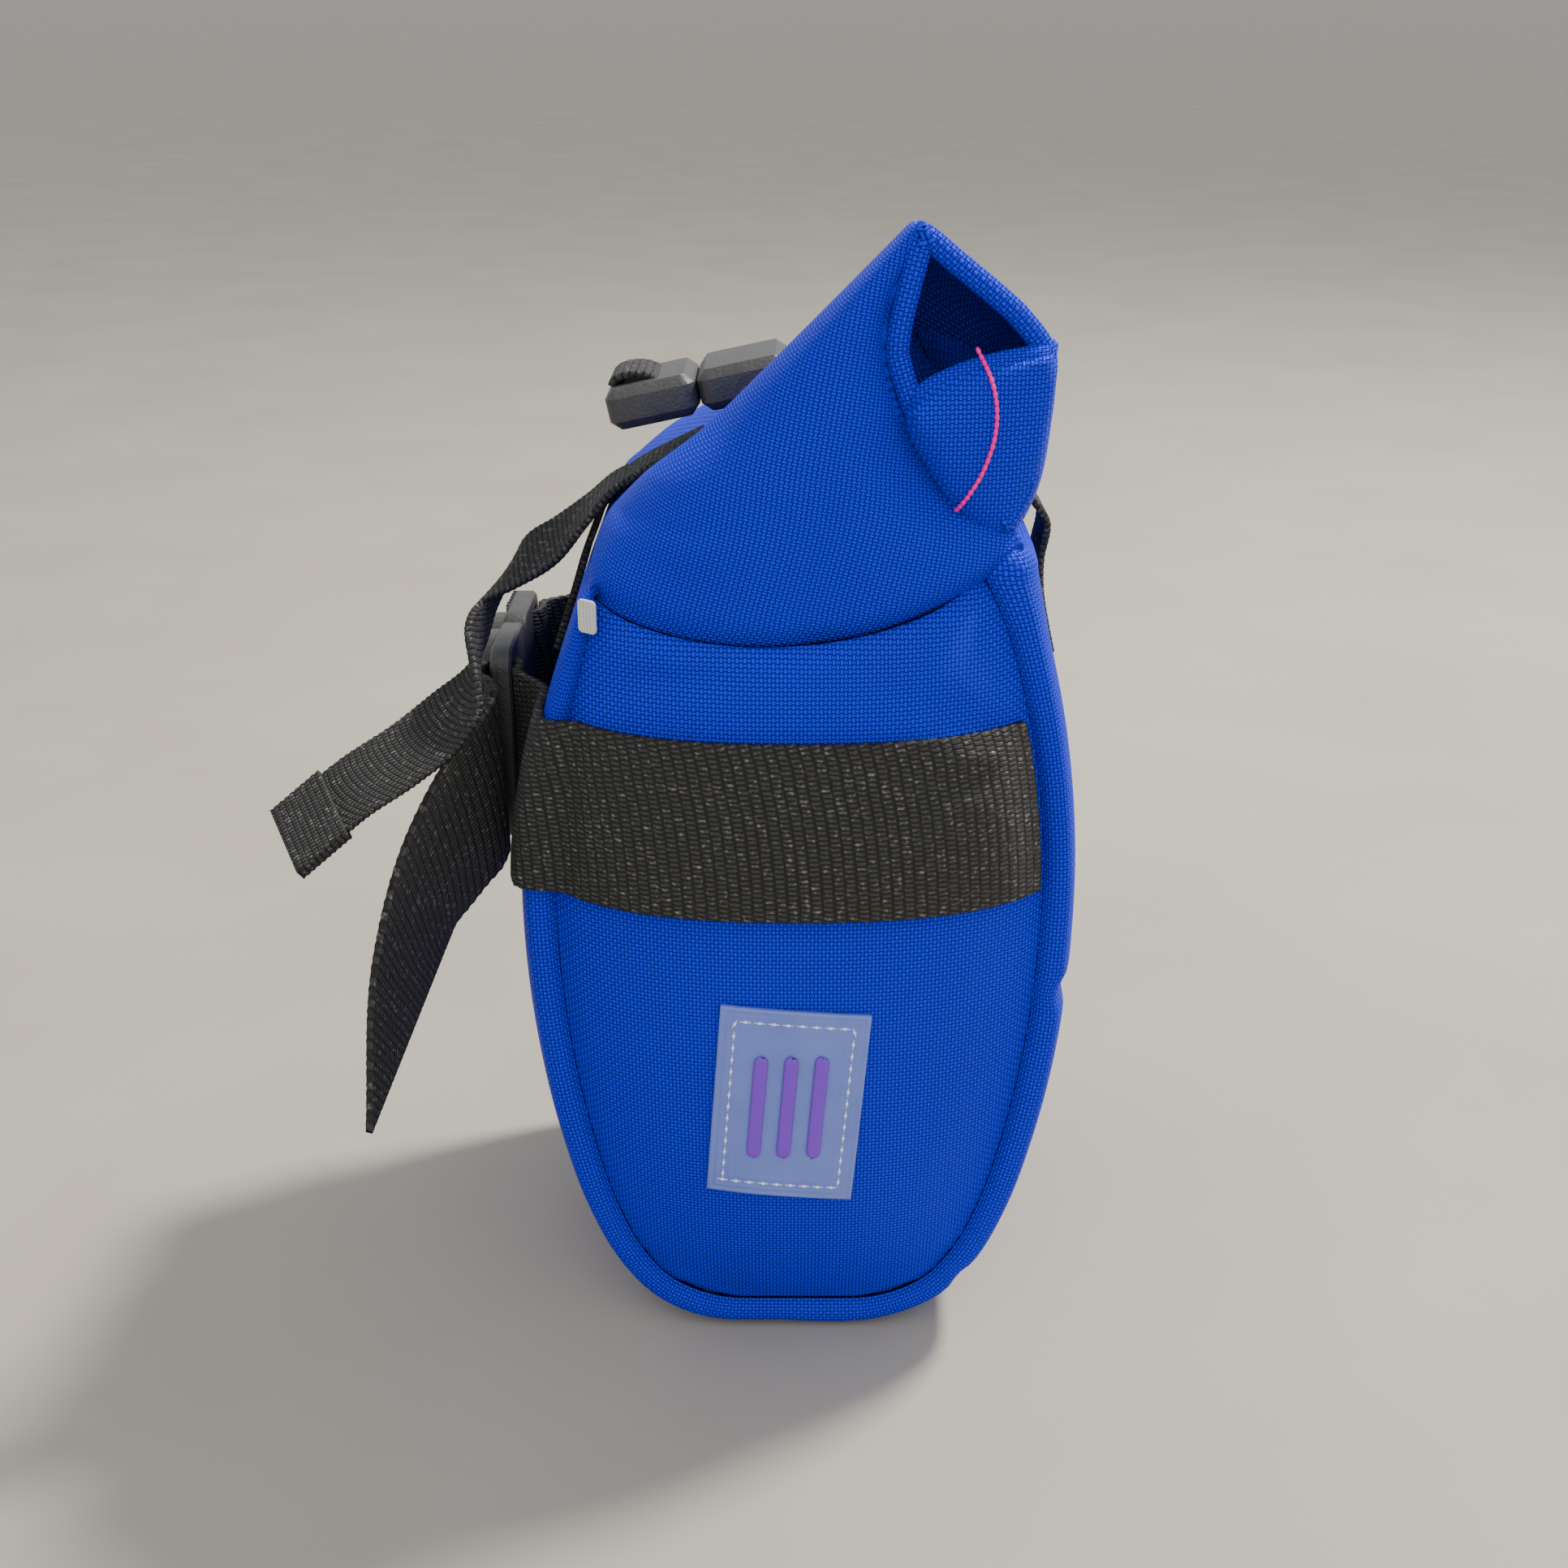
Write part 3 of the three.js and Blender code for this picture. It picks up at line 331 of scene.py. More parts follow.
for name, side, bulge, folds in (("front_cloth", -1, FRONT_BULGE, PANEL_FOLDS), ("back_cloth", 1, BACK_BULGE, [])):
    grid = panel_grid(side, bulge, folds)
    piece = sheet_mesh(name, grid, CLOTH, nylon, spread=flat_uv(grid))
    finish_piece(piece, "nylon", "front_panel" if side < 0 else "back_panel")

# %% [markdown]
# ## Gusset
# One strip of cloth runs down one side, under the bottom and up the other. Its edges are turned and sewn to the
# panels, so the seam's allowance pushes a rolled rim forward beside a groove. The strip follows the seam's path.

# %% Gusset
# Columns from the front seam to the middle of the depth: inward share, outward share, forward share.
GUSSET_IN = [(0, 0), (1, 0), (2, 0), (3, 0), (4, .05), (5, .16), (6, .4), (7, .72), (8, 1)]
GUSSET_OUT = [(0, .06), (1, .22), (2, .46), (3, .7), (4, .86), (5, .93), (6, .98), (7, 1), (8, 1)]
GUSSET_FORWARD = [(0, 0), (1, .75), (2, 1), (3, .55), (4, 0), (5, 0), (6, 0), (7, 0), (8, 0)]
PATH_STEPS, GUSSET_STEPS, SHOULDER_RISE = 190, 60, 3.4


def seam_path():
    """Points of the seam from the left top, under, to the right top, evenly spaced, with outward directions."""
    share = np.linspace(0, 1, 400) ** 1.35
    parts = []
    for sign in (-1, 1):
        z = SEAM_LIFT + (crease_z(np.array(float(sign))) - SEAM_GAP - SEAM_LIFT) * share
        parts.append(np.stack([sign * seam_half(z) - ear(sign + 0 * z, z), z], axis=-1))
    path = np.concatenate([parts[0][::-1], parts[1]])
    length = np.concatenate([[0], np.cumsum(np.linalg.norm(np.diff(path, axis=0), axis=1))])
    even = np.linspace(0, length[-1], PATH_STEPS)
    path = np.stack([np.interp(even, length, path[:, 0]), np.interp(even, length, path[:, 1])], axis=-1)
    smooth = np.array([1, 4, 6, 4, 1]) / 16
    for _ in range(3):
        inner = np.stack([np.convolve(path[:, k], smooth, "valid") for k in (0, 1)], axis=-1)
        path = np.concatenate([path[:2], inner, path[-2:]])
    step = np.gradient(path, axis=0)
    step /= np.linalg.norm(step, axis=1, keepdims=True)
    below_top = np.clip((path[:, 1].max() - path[:, 1]) / 24, 0, 1)
    out = np.stack([step[:, 1], -step[:, 0] * below_top], axis=-1)
    out /= np.linalg.norm(out, axis=1, keepdims=True)
    return path, -out if out[PATH_STEPS // 2, 1] > 0 else out


def rim_wave(x, z):
    low = np.maximum(0, 1 - z / (2.5 * SEAM_LIFT))
    return low * 0.45 * np.sin(x / 5.2) - fold_depth(RIM_FOLDS, x, z)


def gusset_grid():
    path, out = seam_path()
    x, z = path[:, 0][:, None], path[:, 1][:, None]
    t = np.linspace(0, 16, 2 * GUSSET_STEPS + 1)[None, :]
    side = np.where(t <= 8, -1.0, 1.0)
    column = np.where(t <= 8, t, 16 - t)
    outward = read(GUSSET_OUT, column)
    wave = rim_wave(x, z) * np.minimum(1, outward * 1.4) * np.where(side < 0, 1, 0.6)
    reach = stand_out(x, z) * outward + wave
    depth = HALF_DEPTH * (1 - read(GUSSET_IN, column)) + RIM_ROLL * read(GUSSET_FORWARD, column)
    bend = np.broadcast_to(side * depth, reach.shape)
    grid = np.stack([x + out[:, :1] * reach, bend, z + out[:, 1:] * reach], axis=-1)
    return np.concatenate([shoulder(grid[0], -1)[::-1], grid, shoulder(grid[-1], 1)])


def shoulder(edge, sign):
    """Rounds the gusset's upper end over to the collar's foot, full at the ends of the depth."""
    angle = np.linspace(0, math.pi / 2, 13)[1:, None]
    seam_x = sign * float(seam_half(np.array(BODY_TOP))) - float(ear(sign, BODY_TOP))
    reach = (edge[:, 0] - seam_x)[None, :]
    near = np.exp(-((HALF_DEPTH - np.abs(edge[:, 1])) / 9.0) ** 2)[None, :]
    x = seam_x + reach * np.cos(angle) ** 0.7
    rise = SHOULDER_RISE * (1.9 if sign > 0 else 1.0)
    z = edge[:, 2][None, :] + rise * (0.35 + 0.65 * near) * np.sin(angle)
    y = edge[:, 1][None, :] * (1 - 0.09 * (1 - np.cos(angle)))
    return np.stack([x, y, z], axis=-1)


gusset = sheet_mesh("gusset_cloth", gusset_grid(), CLOTH, nylon, floor=0)
finish_piece(gusset, "nylon", "gusset")

# %% [markdown]
# ## Collar and roll
# Above the body the cloth thins to a collar, is folded to a triangle at each end and rolled down to one side. The
# closing strap cinches the middle of the roll, so every height above the collar's foot follows one cinch curve.

# %% Collar sizes and tables
PEAK_X, ROLL_HEIGHT, ROLL_WIDTH, COLLAR_BULGE, DEPTH_SHARE = 22.6, 75.0, 27.5, 12.0, 0.98
CORNER_POWER, FOOT_POWER, FLAP_PROUD = 6.0, 16.0, 1.6
HEM_RADIUS, LIP_RADIUS, FOLD_RADIUS = 1.5, 2.3, 2.4
COLLAR_BASE = BODY_TOP - CREASE_DROP + 0.7
REACH = HALF_DEPTH * DEPTH_SHARE
CINCH = [(0, 1), (.12, .97), (.25, .84), (.39, .6), (.5, .58), (.61, .59), (.8, .66), (1, .7)]
COLLAR_LEFT = [(0, -.84), (.09, -.83), (.16, -.81), (.26, -.76), (.4, -.62), (.55, -.38), (.7, -.12), (.86, .17), (1, .4)]
COLLAR_RIGHT = [(0, .77), (.09, .84), (.16, .74), (.26, .6), (.4, .48), (.55, .38), (.7, .31), (.86, .32), (1, .46)]
COLLAR_RISE = [(0, 0), (.09, .07), (.16, .12), (.26, .2), (.4, .32), (.55, .46), (.7, .64), (.86, .84), (1, 1)]
RIGHT_RISE = [(0, 0), (.09, .09), (.16, .18), (.26, .26), (.4, .35), (.55, .48), (.7, .62), (.86, .8), (1, .98)]
# The roll's section at its ends, clockwise from the peak, and where the strap presses its inner side flat.
ROLL = [(0, 1), (.35, .91), (.75, .79), (.98, .68), (.96, .52), (.88, .31), (.68, .19), (.36, .25), (.02, .42),
        (-.22, .66), (-.14, .85)]
ROLL_MIDDLE = ROLL[:7] + [(.62, .3), (.74, .5), (.55, .7), (.15, .84)]


def cinched(y, z):
    foot = crease_z(1.0) + 1.4
    drawn = foot + (z - foot) * read(CINCH, (y + HALF_DEPTH) / BODY_DEPTH)
    return np.where(z <= foot, z, drawn)


def closed_curve(points, count):
    """A smooth closed curve through a ring of points."""
    ring = np.array(points, float)
    at = np.linspace(0, len(ring), count)
    low = np.floor(at).astype(int)
    t = (at - low)[:, None]
    before, here, after, later = (ring[(low + k) % len(ring)] for k in (-1, 0, 1, 2))
    soft = 0.5 * (2 * here + (after - before) * t + (2 * before - 5 * here + 4 * after - later) * t**2
                  + (3 * here - before - 3 * after + later) * t**3)
    straight = here * (1 - t) + after * t
    return 0.6 * soft + 0.4 * straight

# %% Collar surface
LEVELS, LOOP_STEPS, INNER_TURN = 84, 170, -16.0
FOOT_TUCK, FOOT_REACH, COLLAR_BIAS = 2.4, 3.0, 12.0
COLLAR_FOLDS = [(.13, 1.03, .34, .09, .09, 80), (.5, 1.1, .36, .07, .07, -38), (-.3, 1.16, .5, .12, .07, 28),
                (-.62, 1.03, .3, .08, .05, -15)]


def collar_loop(power):
    """Plan of the collar's wall, evenly spaced: from the right end of the back, round the left, to the front's."""
    angle = np.linspace(0, math.pi, 3000)
    u = np.abs(np.sin(angle)) ** (2 / power)
    v = np.sign(np.cos(angle)) * np.abs(np.cos(angle)) ** (2 / power)
    length = np.concatenate([[0], np.cumsum(np.hypot(np.diff(u), np.diff(v)))])
    even = np.linspace(0, length[-1], LOOP_STEPS)
    return np.interp(even, length, u), np.interp(even, length, v)


def collar_grid():
    level = np.linspace(0, 1, LEVELS)[:, None]
    power = FOOT_POWER + (CORNER_POWER - FOOT_POWER) * np.minimum(1, level * 3.5)
    u, v = (np.stack(part) for part in zip(*(collar_loop(p) for p in power[:, 0])))
    left, right = SEAM_HALF * read(COLLAR_LEFT, level), SEAM_HALF * read(COLLAR_RIGHT, level)
    rise, right_rise = ROLL_HEIGHT * read(COLLAR_RISE, level), ROLL_HEIGHT * read(RIGHT_RISE, level)
    x = right - (right - left) * u
    bulge = COLLAR_BULGE * np.where(v < 0, 1, BACK_BULGE / FRONT_BULGE)
    fade = np.cos(0.5 * math.pi * level) * crown(2 * u - 1) * v * v
    y = v * REACH + np.sign(v) * bulge * fade
    crease = crease_z(np.clip(x / seam_half(BODY_TOP), -1, 1)) + 0.5 * SEAM_GAP
    base = crease + (COLLAR_BASE - crease) * np.minimum(1, level * 2.5)
    z = base + right_rise + (rise - right_rise) * u
    y = np.where(v < 0, y + fold_depth(COLLAR_FOLDS, x, z) * np.abs(v), y)
    tuck = FOOT_TUCK * np.exp(-((z - z[:1]) / FOOT_REACH) ** 2)
    y = y - np.sign(v) * tuck * np.minimum(1, 3 * np.abs(v))
    z = z - 0.5 * tuck / FOOT_TUCK
    grid = np.stack([x, y, z], axis=-1)
    step = np.linalg.norm(np.diff(grid[..., :2], axis=1), axis=2)
    unrolled = right - np.concatenate([np.zeros((LEVELS, 1)), np.cumsum(step[:, ::-1], axis=1)], axis=1)[:, ::-1]
    turn = math.radians(COLLAR_BIAS)
    along = unrolled * math.cos(turn) - z * math.sin(turn)
    over = unrolled * math.sin(turn) + z * math.cos(turn)
    spread = np.stack([over * 1.27, along * 0.88], axis=-1)
    grid, spread = hemmed(grid, spread, x_way=1)
    grid[..., 2] = cinched(grid[..., 1], grid[..., 2])
    return grid, spread


def hemmed(grid, spread, x_way):
    """Turns the collar's two upright ends back inside, as the folds at the triangle's edge do."""
    angle = np.linspace(0, math.pi, 9)[1:]
    over = HEM_RADIUS * np.sin(angle)
    back = HEM_RADIUS * (1 - np.cos(angle))
    over, back = np.append(over, [-1.5, -3.5]), np.append(back, [2 * HEM_RADIUS] * 2)
    for end, inward in ((0, -1), (-1, 1)):
        base, base_uv = grid[:, end], spread[:, end]
        turn = [base + np.array([x_way * o, inward * b, 0]) for o, b in zip(over, back)]
        run = [base_uv + np.array([0.9 * (k + 1), 0]) for k in range(len(over))]
        turn, run = np.stack(turn, 1), np.stack(run, 1)
        if end == 0:
            grid = np.concatenate([turn[:, ::-1], grid], axis=1)
            spread = np.concatenate([run[:, ::-1], spread], axis=1)
        else:
            grid = np.concatenate([grid, turn], axis=1)
            spread = np.concatenate([spread, run], axis=1)
    return grid, spread


def rolled_lip(grid, spread):
    """Turns the roll's two open ends inwards over a soft lip."""
    angle = np.linspace(0, math.pi, 8)[1:]
    over = np.append(LIP_RADIUS * np.sin(angle), [-2, -5])
    back = np.append(LIP_RADIUS * (1 - np.cos(angle)), [2 * LIP_RADIUS] * 2)
    for end, way in ((0, -1), (-1, 1)):
        ring = grid[end]
        tangent = np.roll(ring[:-1], -1, 0) - np.roll(ring[:-1], 1, 0)
        tangent = np.vstack([tangent, tangent[:1]])
        inward = np.cross(tangent, [0, 1, 0])
        inward /= np.linalg.norm(inward, axis=1, keepdims=True)
        middle = ring.mean(0)
        inward *= np.sign(((middle - ring) * inward).sum(1).mean())
        turn = np.stack([ring + np.array([0, way * o, 0]) + inward * b for o, b in zip(over, back)])
        run = np.stack([spread[end] + np.array([way * 0.8 * (k + 1), 0]) for k in range(len(over))])
        if end == 0:
            grid, spread = np.concatenate([turn[::-1], grid]), np.concatenate([run[::-1], spread])
        else:
            grid, spread = np.concatenate([grid, turn]), np.concatenate([spread, run])
    return grid, spread


def roll_grid():
    share = np.linspace(0, 1, 80)[:, None]
    pinch = np.exp(-((2 * share - 1) / 0.42) ** 4)[..., None]
    ends, middle = closed_curve(ROLL, 150), closed_curve(ROLL_MIDDLE, 150)
    section = ends[None] * (1 - pinch) + middle[None] * pinch
    y = np.broadcast_to(REACH * (2 * share - 1), section.shape[:2])
    x = PEAK_X + section[..., 0] * ROLL_WIDTH
    z = COLLAR_BASE + section[..., 1] * ROLL_HEIGHT
    around = np.concatenate([[0], np.cumsum(np.hypot(np.diff(x[0]), np.diff(z[0])))])
    spread = np.stack([y, np.broadcast_to(around, y.shape)], axis=-1)
    grid, spread = rolled_lip(np.stack([x, y, z], axis=-1), spread)
    grid[..., 2] = cinched(grid[..., 1], grid[..., 2])
    return grid, spread


def inner_turn_grid():
    """The next turn of the rolled cloth, crumpled across the tunnel a little way in."""
    ring = closed_curve(ROLL, 100)
    middle = ring.mean(0)
    share = np.linspace(0.02, 0.985, 26)[:, None, None]
    place = middle + (ring[None] - middle) * share
    around = np.linspace(0, 2 * math.pi, ring.shape[0])[None, :]
    fold = 5.0 * np.cos(around * 2 + 0.6) * share[..., 0] ** 0.7 + 1.6 * np.sin(around * 5 + 4 * share[..., 0])
    x, z = PEAK_X + place[..., 0] * ROLL_WIDTH, COLLAR_BASE + place[..., 1] * ROLL_HEIGHT
    y = INNER_TURN + fold * (1 - 0.5 * share[..., 0]) + 0 * x
    return np.stack([x, y, cinched(y, z)], axis=-1), np.stack([x, z], axis=-1)


SIDE_WALL_EASE = 9.0


def side_wall_grid():
    level, share = np.linspace(0, 1, 24)[:, None], np.linspace(0, 1, 60)[None, :]
    y = (REACH - SIDE_WALL_EASE * (1 - level)) * (2 * share - 1)
    foot = seam_half(BODY_TOP) + GUSSET_BULGE * 0.45
    end_x, end_z = PEAK_X + ROLL[6][0] * ROLL_WIDTH, COLLAR_BASE + ROLL[6][1] * ROLL_HEIGHT
    x = foot + (end_x - foot) * level + np.sin(math.pi * level) + 0 * y
    start = crease_z(1.0) + 0.5 * SEAM_GAP
    z = start + (end_z + 1.4 - start) * level + 0 * y
    return np.stack([x, y, cinched(y, z)], axis=-1), np.stack([y, z], axis=-1)


def flap_grid(side):
    """The folded corner in the roll's end: full under its upper fold, with a rounded left end."""
    top = np.array([(-.08, .53), (.12, .585), (.48, .635), (.97, .67)])
    low = np.array([(-.075, .46), (.04, .39), (.36, .22), (.69, .165), (.91, .3), (.99, .5), (1.0, .66)])
    s, t = np.linspace(0, 1, 62), np.linspace(-0.45, 1, 54)

    def along(line):
        keys = np.linspace(0, 1, len(line))
        return np.stack([read(np.stack([keys, line[:, k]], -1), s) for k in (0, 1)], axis=-1)

    upper, lower = along(top), along(low)
    down = np.maximum(t, 0)[:, None, None]
    place = upper[None] * (1 - down) + lower[None] * down
    x = PEAK_X + place[..., 0] * ROLL_WIDTH
    z = COLLAR_BASE + place[..., 1] * ROLL_HEIGHT
    turn = np.clip(-t / 0.45, 0, 1)[:, None] * math.pi * 0.8
    front = np.clip(t, 0, 1)[:, None]
    full = (6.0 * (1 - s) ** 0.7 + 1.4)[None, :] * np.sin(math.pi * front**0.62) ** 0.8
    left_end = np.exp(-(s[None, :] / 0.075) ** 2)
    rim = np.maximum(front, s[None, :] ** 3)
    y = -REACH - FLAP_PROUD - full * (1 - 0.45 * left_end) + 3.6 * left_end + 4.5 * rim**12
    y = y - FOLD_RADIUS * np.sin(np.pi / 2 - turn) * (t < 0)[:, None] - FOLD_RADIUS * (t >= 0)[:, None] * (1 - front) ** 3
    z = z + np.where(t < 0, FOLD_RADIUS * np.sin(turn[:, 0]), 0)[:, None]
    z = z - 5.0 * np.clip(-t / 0.45 - 0.6, 0, 1)[:, None]
    grid = np.stack([x, y, z], axis=-1)
    if side > 0:
        grid[..., 1] *= -1
        grid = grid[:, ::-1]
    spread = np.stack([grid[..., 0], grid[..., 2] - 6 * np.minimum(t, 0)[:, None]], axis=-1)
    grid[..., 2] = cinched(grid[..., 1], grid[..., 2])
    return grid[::-1], spread[::-1]


def joined(name, parts):
    """Joins finished sheets into one object."""
    for part in parts:
        part.select_set(True)
    bpy.context.view_layer.objects.active = parts[0]
    bpy.ops.object.join()
    parts[0].name = name
    parts[0].select_set(False)
    return parts[0]


bpy.ops.object.select_all(action="DESELECT")
walls = []
for name, (grid, spread) in (("collar_cloth", collar_grid()), ("roll", roll_grid()), ("side_wall", side_wall_grid()),
                             ("inner_turn", inner_turn_grid()), ("front_flap", flap_grid(-1)),
                             ("back_flap", flap_grid(1))):
    walls.append(sheet_mesh(name, grid, CLOTH, nylon, spread=spread))
finish_piece(joined("collar_cloth", walls), "nylon", "collar")

# %% [markdown]
# ## Webbing
# Webbing is woven so densely lengthwise that only its long yarns show: short floats, stacked across the width and
# shifted from one column to the next. The columns and the bumpy edges are modelled, and the floats are in the shader.

# %% Webbing material and ribbon maker
def make_webbing(name, column, yarn, light, dark):
    """Floats one column long, one yarn high, half a step apart in neighbouring columns."""
    shader = Shader(name)
    u, v, _ = shader.cloth_uv()
    jitter = shader.noise(420.0) * 0.5
    columns = v * (1 / column)
    shift = (columns * math.pi).sine()
    odd = (shift * 6 + 0.5).clamp() * 0.5
    rows = ((u * (1 / yarn) + odd + jitter) * math.pi).sine().size()
    bar = (rows * 1.6 - 0.25).clamp() * (shift.size() * 1.7).clamp()
    glint = (shader.noise(900.0, 2.0) * 4.2 - 2.35).clamp()
    # The floats are painted lighter than the gaps: painted sheen on the floats and painted shade between them. The
    # glint mix on top paints small white highlights.
    float_sheen_and_gap_shade = shader.mix(bar, dark, light)
    colour = shader.mix((glint * bar * 0.7).clamp(), float_sheen_and_gap_shade, (0.30, 0.29, 0.27, 1))
    return shader.finish(
        Base_Color=colour,
        Roughness=(0.74 - glint * 0.34).clamp(),
        Normal=shader.bump(bar, 0.00045, 1.0),
        Specular_IOR_Level=0.5,
    )


WIDE_COLUMN, WIDE_YARN, NARROW_COLUMN, NARROW_YARN = 0.0024, 0.00102, 0.0014, 0.00075
# Light and dark webbing colours: painted sheen on the floats and painted shade in the gaps of the black yarn.
wide_cloth = make_webbing("wide_webbing", WIDE_COLUMN, WIDE_YARN, (0.032, 0.030, 0.028, 1), (0.0008, 0.0008, 0.0008, 1))
narrow_cloth = make_webbing("narrow_webbing", NARROW_COLUMN, NARROW_YARN, (0.032, 0.031, 0.029, 1), (0.0008, 0.0008, 0.0008, 1))


def refined(grid, step_along, step_across):
    """A coarse grid read smoothly at an even spacing along and across."""
    for axis, step in ((0, step_along), (1, step_across)):
        length = lengths(grid, axis)
        count = max(3, int(length[-1] / step))
        at = np.linspace(0, length[-1], count)
        moved = np.moveaxis(grid, axis, 0)
        flat = moved.reshape(len(length), -1)
        columns = [read(np.stack([length, flat[:, k]], -1), at) for k in range(flat.shape[1])]
        grid = np.moveaxis(np.stack(columns, -1).reshape((count,) + moved.shape[1:]), 0, axis)
    return grid


def ribbon(name, grid, thickness, column, cloth, spacing=(0.55, 0.5)):
    """A webbing strap from a coarse grid of its face: rows along, columns across."""
    grid = refined(grid, *spacing)
    steps = np.linalg.norm(np.diff(grid, axis=0), axis=2)
    along = np.vstack([np.zeros(grid.shape[1]), np.cumsum(steps, axis=0)])
    across = np.gradient(grid, axis=1)
    across /= np.linalg.norm(across, axis=2, keepdims=True)
    side = np.linspace(-1, 1, grid.shape[1])[None, :]
    edge = np.sign(side) * np.abs(side) ** 14 * 0.16 * np.sin(2 * math.pi * along / (column / MM))
    grid = grid + across * edge[..., None]
    ridge = 0.11 * np.abs(np.sin(math.pi * along / (column / MM)))
    spread = np.stack([lengths(grid, 1)[None, :] + 0 * along, along], axis=-1)
    return sheet_mesh(name, grid, thickness, cloth, spread=spread, relief=ridge)

# %% Sizes and routes of the webbing
WIDE, WIDE_THICK, MOUNT_Z, STRAP_GAP, NARROW, NARROW_THICK = 38.0, 1.7, 134.5, 0.6, 15.0, 1.4
HEM_LENGTH, HEM_THICK = 13.0, 4.0
BUCKLE_LENGTH, BUCKLE_HEIGHT, BUCKLE_Y, BUCKLE_GAP = 52.0, 46.0, 8.0, 0.4
BAR_RADIUS, BAR_WIDTH, BAR_EASE, TURN_RUN, SKIN_SHARE = 3.0, 4.0, 0.4, 8.0, 0.4
STRAP_SHARES = [.96, .85, .7, .5, .3, .1, -.1, -.3, -.5, -.7, -.85, -.95]
GUSSET_ROWS = [(0, .06, 0), (0, .22, .75), (0, .46, 1), (0, .7, .55), (.05, .86, 0), (.16, .93, 0), (.4, .98, 0),
               (.72, 1, 0), (1, 1, 0)]
# Out, forward and drop of the upper edge and then of the lower one, from where the webbing leaves its bar.
WIDE_TAIL = [(.6, 6.8, 0, .6, 6.8, 0), (-2.6, 11, .3, -2.6, 10, .3), (-4, 15.5, 1.5, -4.5, 12.8, 1),
             (-2, 21, 5, -3.8, 16.5, 3.5), (5, 30, 13, 0, 20, 7.5), (13.5, 39.5, 29, 3.5, 22, 11.5),
             (19.5, 47, 51, 6.5, 22.8, 15), (23, 52, 90, 8.5, 22, 19)]
FOLD_BACK = [(0, 6, 0, 0, 6, 0), (0, 14, 0, 0, 14, 0)]
# Out, forward, drop, and the direction of the width.
CLOSURE_TAIL = [(0, 0, .4, 0, 1, 0), (5, 3, 2.5, 0, 1, .05), (11, 6, 8, 0, .95, .2), (18, 11, 14, 0, .85, .45),
                (25, 16, 17.5, .1, .85, .5), (30, 21, 21.5, .35, .9, .25), (33, 26, 27, .25, 1, 0),
                (33.5, 31, 34, 0, 1, 0), (34, 36, 40, -.25, .85, .3), (39, 40, 45.5, -.4, .7, .55),
                (47, 45, 51, -.42, .7, .58), (58, 51, 57, -.42, .7, .58), (66, 55, 63, -.45, .68, .58)]


def offset_path(path, distance):
    """A plane polyline moved to the left of its direction."""
    path = np.array(path, float)
    step = np.diff(path, axis=0)
    normal = np.stack([-step[:, 1], step[:, 0]], -1)
    normal /= np.linalg.norm(normal, axis=1, keepdims=True)
    first, second = np.vstack([normal[:1], normal]), np.vstack([normal, normal[-1:]])
    mean = first + second
    mean /= np.linalg.norm(mean, axis=1, keepdims=True)
    return path + mean * (distance / np.maximum(0.6, (mean * second).sum(1)))[:, None]


def wide_out():
    low = np.array(MOUNT_Z - WIDE / 2)
    return float(seam_half(low) + stand_out(np.array(-1.0), low))


def wide_line(side, z, bulge, folds, bar_y):
    z = np.array(float(z))
    path = [(a * float(seam_half(z)), side * float(panel_y(np.array(a), z, bulge, folds))) for a in STRAP_SHARES]
    out = float(stand_out(np.array(-1.0), z))
    for inward, outward, forward in GUSSET_ROWS:
        y = side * (HALF_DEPTH * (1 - inward) + RIM_ROLL * forward)
        if outward > SKIN_SHARE and side * y > side * bar_y + TURN_RUN:
            path.append((-float(seam_half(z)) - out * outward, y))
    path += [(-wide_out(), bar_y + side * 0.5 * TURN_RUN), (-wide_out(), bar_y)]
    run = offset_path(path, -side * (STRAP_GAP + WIDE_THICK))
    angle = np.linspace(0, math.pi, 6)[1:]
    turn_x = run[-1, 0] - BAR_RADIUS * (1 - np.cos(angle))
    turn_y = run[-1, 1] - side * BAR_RADIUS * np.sin(angle)
    return np.vstack([run, np.stack([turn_x, turn_y], -1)])


def wide_grid(side, bulge, folds, tail):
    bar_y = BUCKLE_Y + side * (BUCKLE_LENGTH / 2 - BAR_WIDTH - BAR_EASE)
    columns = []
    for share in np.linspace(0, 1, 9):
        z = MOUNT_Z + WIDE * (0.5 - share)
        line = wide_line(side, z, bulge, folds, bar_y)
        points = [(x, y, z) for x, y in line]
        for row in tail:
            out, forward, drop = ((1 - share) * np.array(row[:3]) + share * np.array(row[3:])).tolist()
            points.append((line[-1, 0] - out, line[-1, 1] + side * forward, z - drop))
        columns.append(points)
    grid = np.array(columns).transpose(1, 0, 2)
    return grid[:, ::-1] if side < 0 else grid


front_strap = ribbon("wide_strap", wide_grid(-1, FRONT_BULGE, PANEL_FOLDS, WIDE_TAIL), WIDE_THICK, WIDE_COLUMN, wide_cloth)
finish_piece(front_strap, "webbing", "mount_strap")
back_strap = ribbon("wide_strap_back", wide_grid(1, BACK_BULGE, [], FOLD_BACK), WIDE_THICK, WIDE_COLUMN, wide_cloth)
finish_piece(back_strap, "webbing", "mount_strap_back")

# %% Closing strap
def collar_line():
    level = np.linspace(0, 1, 12)
    left = np.stack([SEAM_HALF * read(COLLAR_LEFT, level), COLLAR_BASE + ROLL_HEIGHT * read(COLLAR_RISE, level)], -1)
    roll = np.array([(PEAK_X + a * ROLL_WIDTH, COLLAR_BASE + b * ROLL_HEIGHT) for a, b in ROLL[:6]])
    line = np.vstack([left, roll])
    line[:, 1] = cinched(np.zeros(len(line)), line[:, 1])
    return line


def gusset_line(sign, low, high):
    z = np.linspace(low, high, 5)
    return np.stack([sign * (seam_half(z) + stand_out(np.full(5, float(sign)), z)), z], -1)


def flat_strap(path):
    across = np.array([0.5, 0, -0.5]) * NARROW
    return np.stack([np.stack([np.full(3, a), across, np.full(3, b)], -1) for a, b in path])


